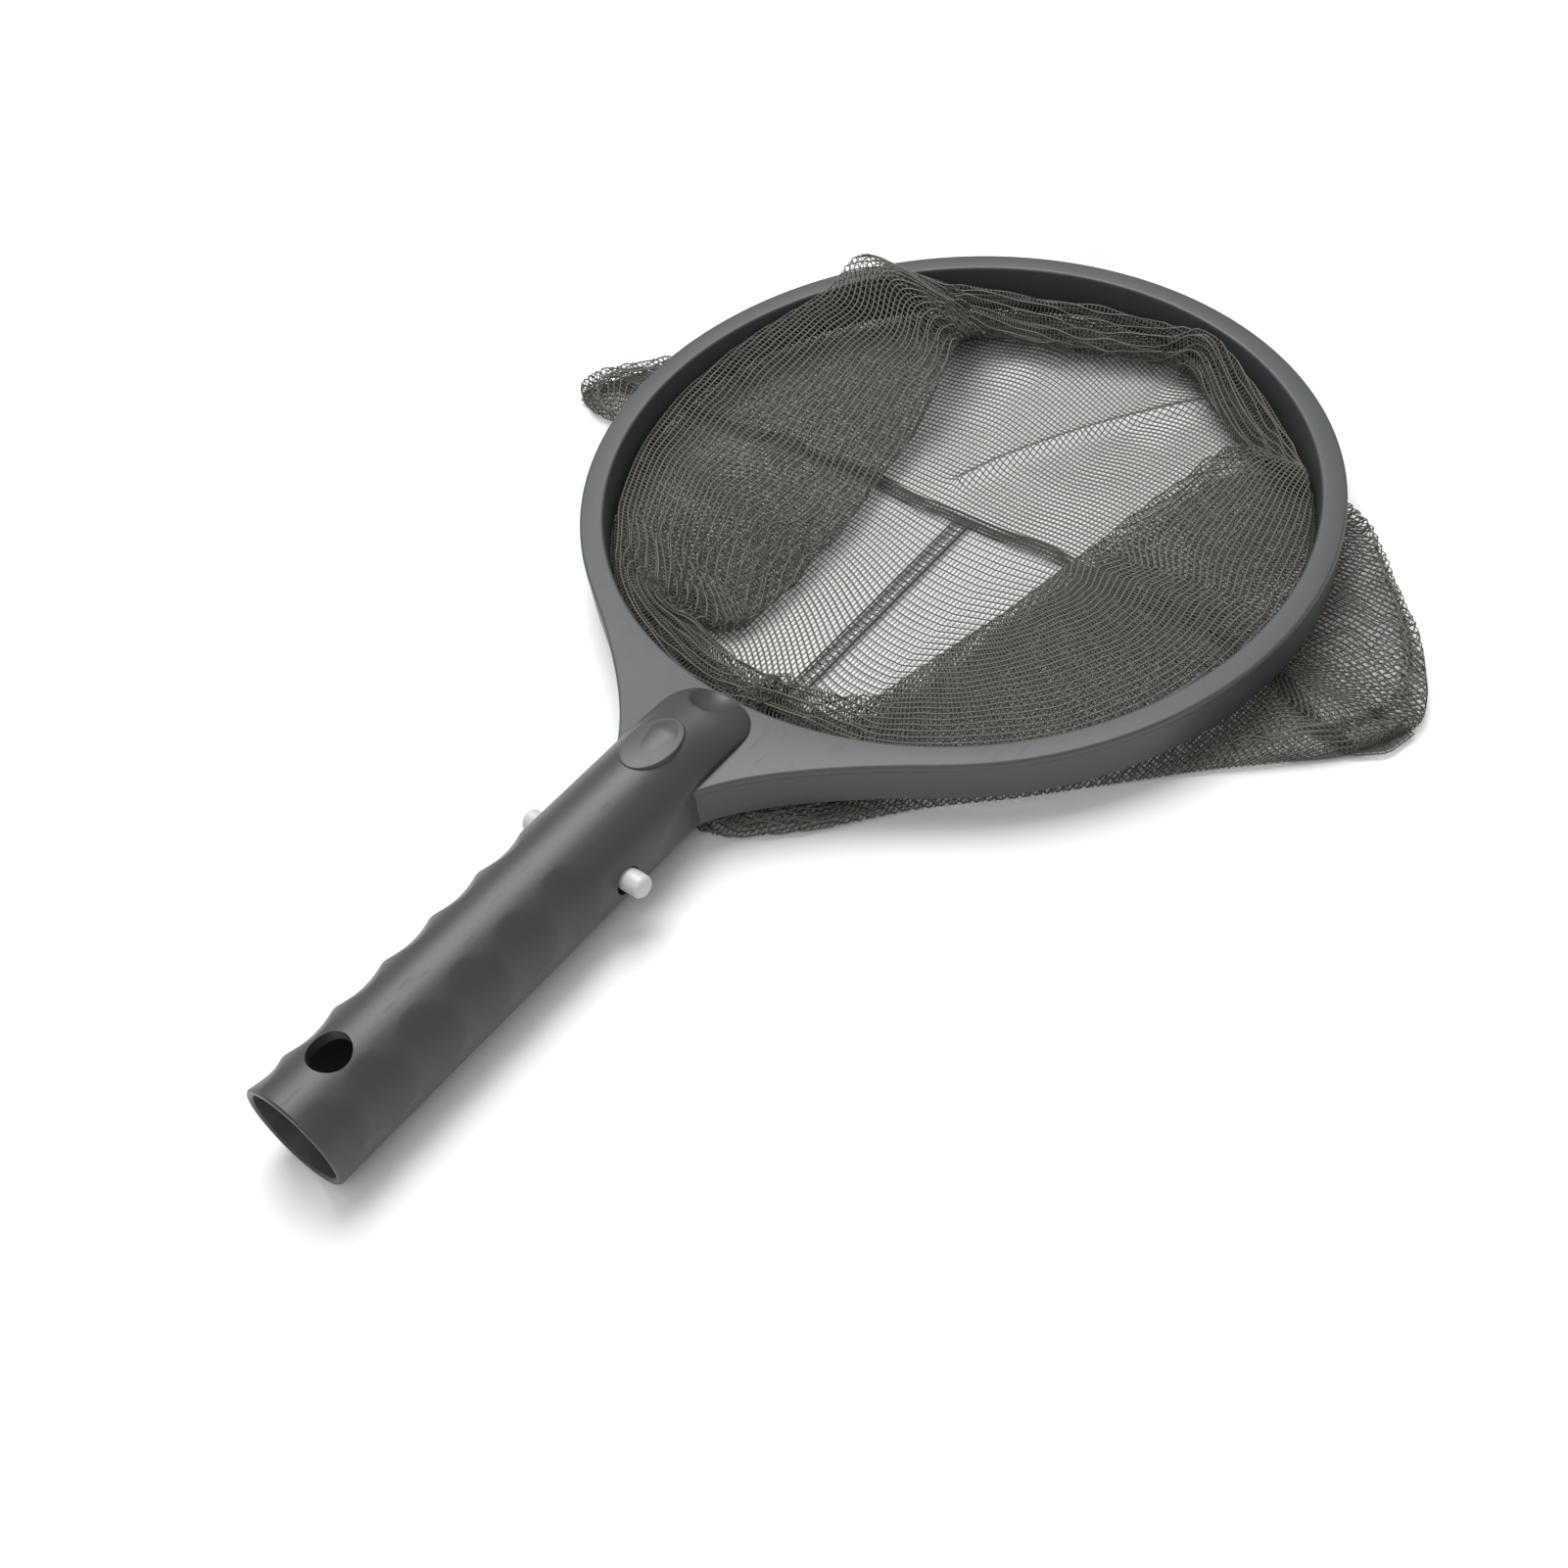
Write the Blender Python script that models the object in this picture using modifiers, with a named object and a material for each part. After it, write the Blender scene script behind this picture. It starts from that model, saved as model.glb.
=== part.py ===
"""Hand leaf skimmer net: a hoop with a mesh sack on a hollow pole handle.

Metres, +Z up.  The origin is on the resting plane under the middle of the hoop, and the
handle runs along -Y.  The hoop is a channel open downwards: the sack's hem and its cord lie
in the channel and the retaining ring locks them in.  The handle slides into a telescopic
pole and holds there by two snap buttons, which a bent spring strip carries.
"""

import math

import bmesh
import bpy
from mathutils import Matrix, Vector

# ---- driving dimensions -------------------------------------------------------------------
HOOP_INNER_R = 0.0962
HOOP_OUTER_R = 0.1025
HOOP_TOP_Z = 0.0195
HOOP_BASE_Z = 0.0070
HOOP_WALL = 0.0015
HOOP_TOP_THICK = 0.0020
HOOP_EDGE = 0.0007
RING_STEPS = 72

YOKE_START = Vector((0.0560, -0.0860))
YOKE_BEND = Vector((0.0240, -0.1070))
YOKE_END = Vector((0.0140, -0.1235))
YOKE_POINTS = 9
POCKET_BACK_Y = -0.1130
POCKET_SIDE_X = 0.0175
POCKET_FRONT_Y = -0.1032
POCKET_TIP = (0.0310, -0.1012)

HANDLE_Z = 0.01425
HANDLE_NOSE_Y = -0.0975
HANDLE_NOSE_LENGTH = 0.0110
HANDLE_NOSE_ROUNDING = 0.7
HANDLE_NECK_Y = -0.1100
HANDLE_GRIP_START_Y = -0.1350
HANDLE_END_Y = -0.2440
HANDLE_NECK_R = 0.0141
HANDLE_END_R = 0.01425
HANDLE_STEPS = 32
HANDLE_STEP_Y = -0.1130
BORE_R = 0.0112
BORE_MOUTH_R = 0.0124
BORE_MOUTH_LENGTH = 0.0070
BORE_END_Y = -0.1155
END_CHAMFER = 0.0006

GRIP_COUNT = 6
GRIP_FIRST_Y = -0.1660
GRIP_PITCH = 0.0150
GRIP_DEPTH = 0.0017
GRIP_ANGLE = math.radians(80)
GRIP_HALF_ANGLE = math.radians(48)
GRIP_FADE = 0.0070
GRIP_ROUNDING = 1.2

HANG_HOLE_Y = -0.2282
HANG_HOLE_R = 0.0052

THUMB_PAD_Y = -0.1235
THUMB_PAD_LENGTH = 0.0185
THUMB_PAD_WIDTH = 0.0130
THUMB_PAD_TOP_Z = HANDLE_Z + HANDLE_NECK_R + 0.0002

BUTTON_Y = -0.1506
BUTTON_R = 0.0030
BUTTON_TIP_X = 0.0190
BUTTON_HOLE_R = 0.0038
BUTTON_HOLE_SHIFT = -0.0005
STRIP_X = 0.00975
STRIP_THICK = 0.0009
STRIP_WIDTH = 0.0080
STRIP_HINGE_Y = -0.1218
STRIP_END_Y = -0.1560
STRIP_GAP = 0.0004
STRIP_BEND_Y = -0.1175
RIVET_R = 0.0011
RIVET_HEAD_R = 0.0020
RIVET_HEAD_THICK = 0.0007
BUTTON_DOME = 0.0013
STRIP_CORNER = 0.0030

GAP = 0.0003
HEM_R = HOOP_INNER_R + HOOP_WALL + GAP
HEM_THICK = 0.0004
HEM_TOP_Z = 0.0149
CORD_R = 0.0010
CORD_RING_R = 0.09935
CORD_Z = 0.0162
LOCK_INNER_R = HEM_R + HEM_THICK + GAP
LOCK_OUTER_R = HOOP_OUTER_R - HOOP_WALL - GAP
LOCK_TOP_Z = 0.0148

SACK_FLOOR_R = 0.1045
SACK_FLOOR_THICK = 0.0012
SACK_TOP_Z = HOOP_BASE_Z - GAP
SACK_CORNER_THICK = 0.0060
SACK_WALL_THICK = 0.0010
SACK_SHOULDER_R = 0.1030
SACK_SHOULDER_Z = 0.0050
SACK_EDGE_Z = 0.0020
SACK_FLAT_R = 0.0860
SACK_BEND_R = 0.0950
SACK_BEND_Z = 0.0030
RIGHT_CORNER = [(0.0900, 0.0560), (0.0600, -0.0600), (0.0240, -0.1000),
                (0.0240, -0.1120), (0.0580, -0.0880), (0.1000, -0.0440),
                (0.1210, -0.0200), (0.1290, -0.0240), (0.1360, -0.0100),
                (0.1350, 0.0060), (0.1130, 0.0380), (0.0960, 0.0560)]
LEFT_CORNER = [(-0.0900, 0.0260), (-0.1150, 0.0200), (-0.1280, 0.0060),
               (-0.1330, -0.0060), (-0.1310, -0.0150), (-0.1120, -0.0130),
               (-0.0900, -0.0200)]
SACK_HANDLE_ROOM_Y = -0.1118
SEAM_WIDTH = 0.0050
SEAM_THICK = 0.0006
SEAM_REACH = 0.0720

FRAME_GREY = (0.115, 0.125, 0.130, 1.0)
HANDLE_GREY = (0.100, 0.107, 0.106, 1.0)
LOCK_GREY = (0.090, 0.097, 0.100, 1.0)
MESH_OLIVE = (0.120, 0.115, 0.090, 1.0)
SEAM_OLIVE = (0.070, 0.067, 0.055, 1.0)
CORD_OLIVE = (0.150, 0.145, 0.120, 1.0)
BUTTON_WHITE = (0.720, 0.700, 0.680, 1.0)
SPRING_STEEL = (0.560, 0.560, 0.550, 1.0)


# ---- helpers ------------------------------------------------------------------------------
def clear_scene():
    for item in list(bpy.data.objects):
        bpy.data.objects.remove(item, do_unlink=True)
    for group in list(bpy.data.collections):
        bpy.data.collections.remove(group)


def new_collection(name):
    group = bpy.data.collections.new(name)
    bpy.context.scene.collection.children.link(group)
    return group


def plastic(name, colour, roughness=0.5, metallic=0.0):
    made = bpy.data.materials.new(name)
    made.use_nodes = True
    shader = made.node_tree.nodes["Principled BSDF"]
    shader.inputs["Base Color"].default_value = colour
    shader.inputs["Roughness"].default_value = roughness
    shader.inputs["Metallic"].default_value = metallic
    return made


def add_object(name, data, group, material=None):
    made = bpy.data.objects.new(name, data)
    group.objects.link(made)
    if material is not None:
        data.materials.clear()
        data.materials.append(material)
    return made


def shade(made, angle=40):
    made.data.shade_smooth()
    made.data.set_sharp_from_angle(angle=math.radians(angle))


def as_mesh(made, name, group):
    """Replace an object by a mesh object with its modifiers applied and its place kept."""
    graph = bpy.context.evaluated_depsgraph_get()
    data = bpy.data.meshes.new_from_object(made.evaluated_get(graph))
    form = bmesh.new()
    form.from_mesh(data)
    bmesh.ops.remove_doubles(form, verts=form.verts, dist=0.00001)
    form.to_mesh(data)
    form.free()
    placed = made.matrix_world.copy()
    bpy.data.objects.remove(made, do_unlink=True)
    mesh_object = add_object(name, data, group)
    mesh_object.matrix_world = placed
    return mesh_object


def turned(name, profile, steps, group, material=None, closed=True):
    """A profile of (radius, height) turned about local Z, down its outer side first."""
    form = bmesh.new()
    points = [form.verts.new((radius, 0, height)) for radius, height in profile]
    for first, second in zip(points, points[1:]):
        form.edges.new((first, second))
    if closed:
        form.edges.new((points[-1], points[0]))
    data = bpy.data.meshes.new(name)
    form.to_mesh(data)
    form.free()
    made = add_object(name, data, group, material)
    screw = made.modifiers.new("turn", "SCREW")
    screw.steps = steps
    screw.render_steps = steps
    screw.use_merge_vertices = True
    screw.merge_threshold = 0.00001
    screw.use_smooth_shade = True
    return made


def slab(name, outline, low_z, high_z, group, material=None):
    """A flat closed outline, given as (x, y) points, between two heights."""
    curve = bpy.data.curves.new(name, "CURVE")
    curve.dimensions = "2D"
    curve.fill_mode = "BOTH"
    curve.extrude = (high_z - low_z) / 2
    spline = curve.splines.new("POLY")
    spline.points.add(len(outline) - 1)
    for point, (x, y) in zip(spline.points, outline):
        point.co = (x, y, 0, 1)
    spline.use_cyclic_u = True
    made = add_object(name, curve, group)
    made.location.z = (high_z + low_z) / 2
    bpy.context.view_layer.update()
    solid = as_mesh(made, name, group)
    if material is not None:
        solid.data.materials.append(material)
    return solid


def rod(name, radius, length, place, turn, group, steps=24):
    form = bmesh.new()
    bmesh.ops.create_cone(form, cap_ends=True, segments=steps, radius1=radius,
                          radius2=radius, depth=length)
    data = bpy.data.meshes.new(name)
    form.to_mesh(data)
    form.free()
    made = add_object(name, data, group)
    made.location = place
    made.rotation_euler = turn
    return made


def block(name, low, high, group, material=None):
    form = bmesh.new()
    bmesh.ops.create_cube(form, size=1)
    size = Vector(high) - Vector(low)
    middle = (Vector(high) + Vector(low)) / 2
    bmesh.ops.transform(form, verts=form.verts,
                        matrix=Matrix.Translation(middle) @ Matrix.Diagonal((*size, 1)))
    data = bpy.data.meshes.new(name)
    form.to_mesh(data)
    form.free()
    return add_object(name, data, group, material)


def combine(made, other, operation):
    other.hide_render = True
    other.display_type = "WIRE"
    step = made.modifiers.new(operation.lower(), "BOOLEAN")
    step.operation = operation
    step.solver = "EXACT"
    step.object = other


def mirrored(points):
    """An outline's right side followed by its mirror image."""
    return points + [(-x, y) for x, y in reversed(points)]


# ---- hoop ---------------------------------------------------------------------------------
def yoke_outline():
    side = []
    for step in range(YOKE_POINTS):
        t = step / (YOKE_POINTS - 1)
        point = YOKE_START * (1 - t) ** 2 + YOKE_BEND * 2 * t * (1 - t) + YOKE_END * t ** 2
        side.append((point.x, point.y))
    inside = HOOP_OUTER_R - HOOP_WALL / 2
    start = math.atan2(YOKE_START.y, YOKE_START.x)
    arc = []
    for step in range(5):
        angle = -math.pi / 2 + (start + math.pi / 2) * step / 4
        arc.append((inside * math.cos(angle), inside * math.sin(angle)))
    right = arc[1:] + side
    return [arc[0]] + mirrored(right)


def hoop_profile():
    floor_z = HOOP_TOP_Z - HOOP_TOP_THICK
    outer, inner = HOOP_OUTER_R, HOOP_INNER_R
    return [(outer - HOOP_EDGE, HOOP_TOP_Z), (outer, HOOP_TOP_Z - HOOP_EDGE),
            (outer, HOOP_BASE_Z), (outer - HOOP_WALL, HOOP_BASE_Z),
            (outer - HOOP_WALL, floor_z), (inner + HOOP_WALL, floor_z),
            (inner + HOOP_WALL, HOOP_BASE_Z), (inner, HOOP_BASE_Z),
            (inner, HOOP_TOP_Z - HOOP_EDGE), (inner + HOOP_EDGE, HOOP_TOP_Z)]


def make_yoke(cutters):
    """The two webs that spread from the handle to the hoop, hollow from below."""
    blank = slab("web_blank", yoke_outline(), HOOP_BASE_Z, HOOP_TOP_Z, cutters)
    combine(blank, nose_form("nose_clearance", GAP, cutters), "DIFFERENCE")
    for side in (1, -1):
        pocket = [(POCKET_SIDE_X * side, POCKET_BACK_Y), (POCKET_SIDE_X * side, POCKET_FRONT_Y),
                  (POCKET_TIP[0] * side, POCKET_TIP[1])]
        hollow = slab("web_pocket", pocket[::side], HOOP_BASE_Z - 0.002,
                      HOOP_TOP_Z - HOOP_TOP_THICK, cutters)
        combine(blank, hollow, "DIFFERENCE")
    return as_mesh(blank, "yoke_web", cutters)


def make_hoop(parts, cutters, material):
    rim = turned("hoop_rim", hoop_profile(), RING_STEPS, cutters)
    combine(rim, make_yoke(cutters), "UNION")
    hoop = as_mesh(rim, "hoop_frame", parts)
    hoop.data.materials.append(material)
    return hoop


# ---- handle -------------------------------------------------------------------------------
def nose_profile(grow):
    """The rounded nose from its widest ring to its tip, as (radius, distance)."""
    points = []
    for step in range(7):
        angle = math.radians(90 * step / 6)
        width = math.cos(angle) ** HANDLE_NOSE_ROUNDING if step < 6 else 0.0
        radius = (HANDLE_NECK_R + grow) * width
        along = -HANDLE_NOSE_Y + HANDLE_NOSE_LENGTH
        points.append((radius, along - (HANDLE_NOSE_LENGTH + grow) * math.sin(angle)))
    return points


def nose_form(name, grow, cutters):
    """A solid nose and neck, used to clear the hoop's web around the handle."""
    end = -BUTTON_Y
    profile = [(0.0, end), (HANDLE_NECK_R + grow, end)] + nose_profile(grow)
    made = turned(name, profile, HANDLE_STEPS, cutters, closed=False)
    made.location = (0, 0, HANDLE_Z)
    made.rotation_euler = (math.radians(90), 0, 0)
    bpy.context.view_layer.update()
    return as_mesh(made, name, cutters)


def handle_radius(distance):
    share = (distance + HANDLE_NECK_Y) / (HANDLE_NECK_Y - HANDLE_END_Y)
    return HANDLE_NECK_R + (HANDLE_END_R - HANDLE_NECK_R) * share


def handle_profile():
    end = -HANDLE_END_Y
    points = [(handle_radius(end) - END_CHAMFER, end),
              (handle_radius(end), end - END_CHAMFER)]
    distance = end - GRIP_PITCH / 5
    while distance > -GRIP_FIRST_Y - GRIP_PITCH / 2:
        points.append((handle_radius(distance), distance))
        distance -= GRIP_PITCH / 5
    points.append((handle_radius(-HANDLE_GRIP_START_Y), -HANDLE_GRIP_START_Y))
    points += nose_profile(0.0)[:-1] + [(0.0, -HANDLE_NOSE_Y)]
    points += [(0.0, -BORE_END_Y), (BORE_R, -BORE_END_Y),
               (BORE_R, end - BORE_MOUTH_LENGTH), (BORE_MOUTH_R, end)]
    return points


def press_grips(handle):
    """Push the finger grips into both flanks of the turned handle."""
    for vertex in handle.data.vertices:
        x, y, distance = vertex.co
        radius = math.hypot(x, y)
        if radius < BORE_MOUTH_R + 0.0005 or distance < -GRIP_FIRST_Y - GRIP_PITCH:
            continue
        angle = abs(math.atan2(x, y))
        across = min(1.0, abs(angle - GRIP_ANGLE) / GRIP_HALF_ANGLE)
        nearest = round((distance + GRIP_FIRST_Y) / GRIP_PITCH)
        nearest = min(max(nearest, 0), GRIP_COUNT - 1)
        offset = abs(distance + GRIP_FIRST_Y - nearest * GRIP_PITCH)
        along = min(1.0, offset / (GRIP_PITCH / 2))
        fade = min(1.0, max(0.0, (-HANDLE_END_Y - distance) / GRIP_FADE))
        depth = GRIP_DEPTH * math.cos(across * math.pi / 2) ** GRIP_ROUNDING
        depth *= math.cos(along * math.pi / 2) * fade
        shrink = (radius - depth) / radius
        vertex.co = (x * shrink, y * shrink, distance)


def thumb_pad(cutters):
    pad = rod("thumb_pad", 0.5, THUMB_PAD_TOP_Z - HANDLE_Z, (0, 0, 0), (0, 0, 0), cutters, 28)
    pad.data.transform(Matrix.Diagonal((THUMB_PAD_WIDTH, THUMB_PAD_LENGTH, 1, 1)))
    lift = BORE_R + 0.0008
    pad.data.transform(Matrix.Diagonal((1, 1, 1 - lift / (THUMB_PAD_TOP_Z - HANDLE_Z), 1)))
    pad.location = (0, THUMB_PAD_Y, (THUMB_PAD_TOP_Z + HANDLE_Z + lift) / 2)
    return pad


def make_handle(parts, cutters, material):
    blank = turned("handle_blank", handle_profile(), HANDLE_STEPS, cutters)
    blank.location = (0, 0, HANDLE_Z)
    blank.rotation_euler = (math.radians(90), 0, 0)
    bpy.context.view_layer.update()
    handle = as_mesh(blank, "handle", parts)
    handle.data.materials.append(material)
    press_grips(handle)
    combine(handle, thumb_pad(cutters), "UNION")
    underside = block("underside_step", (-0.03, HANDLE_STEP_Y, -0.01),
                      (0.03, -0.08, HOOP_BASE_Z), cutters)
    combine(handle, underside, "DIFFERENCE")
    hoop_room = rod("hoop_room", HOOP_OUTER_R + GAP, 0.04, (0, 0, HOOP_TOP_Z + GAP - 0.02),
                    (0, 0, 0), cutters, RING_STEPS)
    combine(handle, hoop_room, "DIFFERENCE")
    hole = rod("hang_hole", HANG_HOLE_R, 0.02, (0, HANG_HOLE_Y, HANDLE_Z + 0.015),
               (0, 0, 0), cutters)
    combine(handle, hole, "DIFFERENCE")
    for side in (1, -1):
        hole = rod("button_hole", BUTTON_HOLE_R, 0.012,
                   (side * 0.014, BUTTON_Y + BUTTON_HOLE_SHIFT, HANDLE_Z),
                   (0, math.radians(90), 0), cutters)
        combine(handle, hole, "DIFFERENCE")
    return handle


# ---- net ----------------------------------------------------------------------------------
def make_hem(parts, hem_material, cord_material, lock_material):
    turned("net_hem", [(HEM_R + HEM_THICK, HEM_TOP_Z), (HEM_R + HEM_THICK, HOOP_BASE_Z + GAP),
                       (HEM_R, HOOP_BASE_Z + GAP), (HEM_R, HEM_TOP_Z)],
           RING_STEPS, parts, hem_material)
    bpy.ops.mesh.primitive_torus_add(major_radius=CORD_RING_R, minor_radius=CORD_R,
                                     major_segments=RING_STEPS, minor_segments=6,
                                     location=(0, 0, CORD_Z))
    cord = bpy.context.object
    cord.name = "hem_cord"
    bpy.context.scene.collection.objects.unlink(cord)
    parts.objects.link(cord)
    cord.data.materials.append(cord_material)
    base = HOOP_BASE_Z + GAP
    turned("retaining_ring", [(LOCK_OUTER_R, LOCK_TOP_Z), (LOCK_OUTER_R, base),
                              (LOCK_INNER_R, base), (LOCK_INNER_R, LOCK_TOP_Z)],
           RING_STEPS, parts, lock_material)


def sack_profile():
    """The lying sack: a floor sheet and a wall that leans up to the hem."""
    outside = [(HEM_R + SACK_WALL_THICK, SACK_TOP_Z), (SACK_SHOULDER_R, SACK_SHOULDER_Z),
               (SACK_FLOOR_R, SACK_EDGE_Z), (SACK_FLOOR_R, 0.0), (0.0, 0.0)]
    inside = [(0.0, SACK_FLOOR_THICK), (SACK_FLAT_R, SACK_FLOOR_THICK),
              (SACK_BEND_R, SACK_BEND_Z), (HEM_R, SACK_TOP_Z)]
    return outside + inside


def make_sack(parts, cutters, material):
    sack = turned("net_bag", sack_profile(), RING_STEPS, parts, material)
    for name, outline in (("right_corner", RIGHT_CORNER), ("left_corner", LEFT_CORNER)):
        flap = slab(name, outline, 0.0, SACK_CORNER_THICK, cutters)
        combine(sack, flap, "UNION")
    half = HANDLE_NECK_R + GAP / 3
    nose_room = block("handle_room", (-half, -0.14, -0.01), (half, SACK_HANDLE_ROOM_Y, 0.03),
                      cutters)
    combine(sack, nose_room, "DIFFERENCE")
    return sack


def make_seams(parts, material):
    low = SACK_FLOOR_THICK + GAP
    half = SEAM_WIDTH / 2
    block("bottom_seam_tape", (-SEAM_REACH, -half, low), (SEAM_REACH, half, low + SEAM_THICK),
          parts, material)
    block("side_seam_tape", (-half, -SEAM_REACH, low), (half, -half - GAP, low + SEAM_THICK),
          parts, material)


# ---- snap clip ----------------------------------------------------------------------------
def bend_outline():
    """The strip's U bend: two legs and a flat bow, as one closed outline."""
    outer = STRIP_X + STRIP_THICK / 2
    inner = STRIP_X - STRIP_THICK / 2
    leg_end = STRIP_HINGE_Y
    corner = STRIP_CORNER
    outside = []
    inside = []
    for step in range(7):
        angle = math.radians(90 * step / 6)
        far = corner * (1 - math.cos(angle))
        near = corner * (1 - math.sin(angle))
        outside.append((outer - far, STRIP_BEND_Y + STRIP_THICK - near))
        thin = (corner - STRIP_THICK) * (1 - math.cos(angle))
        rise = (corner - STRIP_THICK) * (1 - math.sin(angle))
        inside.append((inner - thin, STRIP_BEND_Y - rise))
    right = [(inner, leg_end), (outer, leg_end)] + outside
    left = [(-x, y) for x, y in reversed(right)]
    back = [(-x, y) for x, y in inside[1:]]
    return right + left + back + list(reversed(inside[1:]))


def button_profile():
    """A domed pin with a riveted stem, as (radius, distance along its axis)."""
    root = STRIP_X + STRIP_THICK / 2 + GAP
    dome = BUTTON_DOME
    points = [(0.0, BUTTON_TIP_X)]
    for step in range(1, 5):
        angle = math.radians(90 * step / 4)
        points.append((BUTTON_R - dome * (1 - math.sin(angle)),
                       BUTTON_TIP_X - dome * (1 - math.cos(angle))))
    stem_end = STRIP_X - STRIP_THICK / 2 - GAP
    points += [(BUTTON_R, root), (RIVET_R, root), (RIVET_R, stem_end),
               (RIVET_HEAD_R, stem_end), (RIVET_HEAD_R * 0.7, stem_end - RIVET_HEAD_THICK),
               (0.0, stem_end - RIVET_HEAD_THICK)]
    return points


def make_clip(parts, cutters, steel, white):
    low, high = HANDLE_Z - STRIP_WIDTH / 2, HANDLE_Z + STRIP_WIDTH / 2
    slab("clip_bend", bend_outline(), low, high, parts, steel)
    for name, side in (("right", 1), ("left", -1)):
        pivot = bpy.data.objects.new(f"{name}_clip_pivot", None)
        pivot.location = (side * STRIP_X, STRIP_HINGE_Y, HANDLE_Z)
        parts.objects.link(pivot)
        half = STRIP_THICK / 2
        arm = block(f"{name}_clip_arm", (-half, STRIP_END_Y - STRIP_HINGE_Y, -STRIP_WIDTH / 2),
                    (half, -STRIP_GAP, STRIP_WIDTH / 2), parts, steel)
        arm.parent = pivot
        hole = rod(f"{name}_rivet_hole", RIVET_R + GAP, 0.006,
                   (side * STRIP_X, BUTTON_Y, HANDLE_Z), (0, math.radians(90), 0), cutters, 16)
        combine(arm, hole, "DIFFERENCE")
        button = turned(f"{name}_snap_button", button_profile(), 24, parts, white, closed=False)
        button.parent = pivot
        button.location = (-side * STRIP_X, BUTTON_Y - STRIP_HINGE_Y, 0)
        button.rotation_euler = (0, side * math.radians(90), 0)


def main():
    clear_scene()
    parts = new_collection("leaf_skimmer_net")
    cutters = new_collection("cutters")
    frame_plastic = plastic("hoop_plastic", FRAME_GREY, 0.42)
    handle_plastic = plastic("handle_plastic", HANDLE_GREY, 0.45)
    lock_plastic = plastic("lock_plastic", LOCK_GREY, 0.5)
    mesh_cloth = plastic("net_mesh", MESH_OLIVE, 0.7)
    seam_cloth = plastic("seam_cloth", SEAM_OLIVE, 0.8)
    cord_cloth = plastic("hem_cord", CORD_OLIVE, 0.8)
    button_plastic = plastic("button_plastic", BUTTON_WHITE, 0.35)
    steel = plastic("spring_steel", SPRING_STEEL, 0.3, 1.0)

    hoop = make_hoop(parts, cutters, frame_plastic)
    handle = make_handle(parts, cutters, handle_plastic)
    make_hem(parts, seam_cloth, cord_cloth, lock_plastic)
    sack = make_sack(parts, cutters, mesh_cloth)
    make_seams(parts, seam_cloth)
    make_clip(parts, cutters, steel, button_plastic)
    for made in (hoop, handle, sack):
        shade(made)


main()
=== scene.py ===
"""Hand leaf skimmer: a grey moulded hoop and pole handle that carry a fine knitted sack.

Metres, +Z up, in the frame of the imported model: the origin is on the resting plane under the
middle of the hoop and the handle runs along -Y.  The hard parts are turned and pressed from
their own profiles, and the sack is laid out column by column, folded as it lies in the hoop,
and then knitted from single threads.
"""

from __future__ import annotations

import logging
import math
from dataclasses import dataclass
from enum import Enum

import bmesh
import bpy
import numpy as np
from mathutils import Matrix, Vector, noise


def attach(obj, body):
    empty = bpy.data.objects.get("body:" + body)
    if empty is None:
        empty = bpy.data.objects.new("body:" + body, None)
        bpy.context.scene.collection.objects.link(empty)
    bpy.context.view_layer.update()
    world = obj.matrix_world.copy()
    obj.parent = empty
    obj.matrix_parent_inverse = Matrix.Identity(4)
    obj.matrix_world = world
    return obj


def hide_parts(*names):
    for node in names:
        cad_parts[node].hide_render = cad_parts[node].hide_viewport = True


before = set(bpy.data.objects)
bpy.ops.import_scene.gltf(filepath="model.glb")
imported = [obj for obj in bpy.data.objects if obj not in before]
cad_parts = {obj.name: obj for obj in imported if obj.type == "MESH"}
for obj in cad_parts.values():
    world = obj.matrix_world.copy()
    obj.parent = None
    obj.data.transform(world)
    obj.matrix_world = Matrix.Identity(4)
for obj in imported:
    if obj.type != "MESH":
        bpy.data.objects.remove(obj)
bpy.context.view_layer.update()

LOG = logging.getLogger("leaf_skimmer")
MM = 0.001
TINY = 1e-12
HANDLE_DOWN = Matrix.Rotation(math.radians(90), 4, "X")
AXIS_Z = 0.01425
BUTTON_Y = 0.1506
HOOP_TOP = 0.0195
HOOP_BASE = 0.0070


class Body(Enum):
    """The bodies of the frame that the pieces ride on."""

    SKIMMER = "skimmer"
    RIGHT_CLIP = "right_clip"
    LEFT_CLIP = "left_clip"


class Grain(Enum):
    """How coarse a moulded surface's texture is, as bumps per metre."""

    FINE = 5200.0
    SATIN = 2600.0


# ---- shader helpers ----
class Value:
    """A shader socket that takes part in Python expressions."""

    def __init__(self, graph: "Graph", socket: bpy.types.NodeSocket) -> None:
        """Keep the socket and the graph that it belongs to."""
        self.graph = graph
        self.socket = socket

    def _math(self, operation: str, first: object, second: object) -> "Value":
        """Add one Math node.

        Args:
            operation: The Math node's operation.
            first: Its first value, a number or a Value.
            second: Its second value, a number or a Value.

        Returns:
            The node's result.
        """
        return self.graph.node("ShaderNodeMath", {"operation": operation}, {0: first, 1: second})

    def __add__(self, other: object) -> "Value":
        """Return self + other."""
        return self._math("ADD", self, other)

    def __mul__(self, other: object) -> "Value":
        """Return self * other."""
        return self._math("MULTIPLY", self, other)

    __radd__ = __add__
    __rmul__ = __mul__


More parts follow.
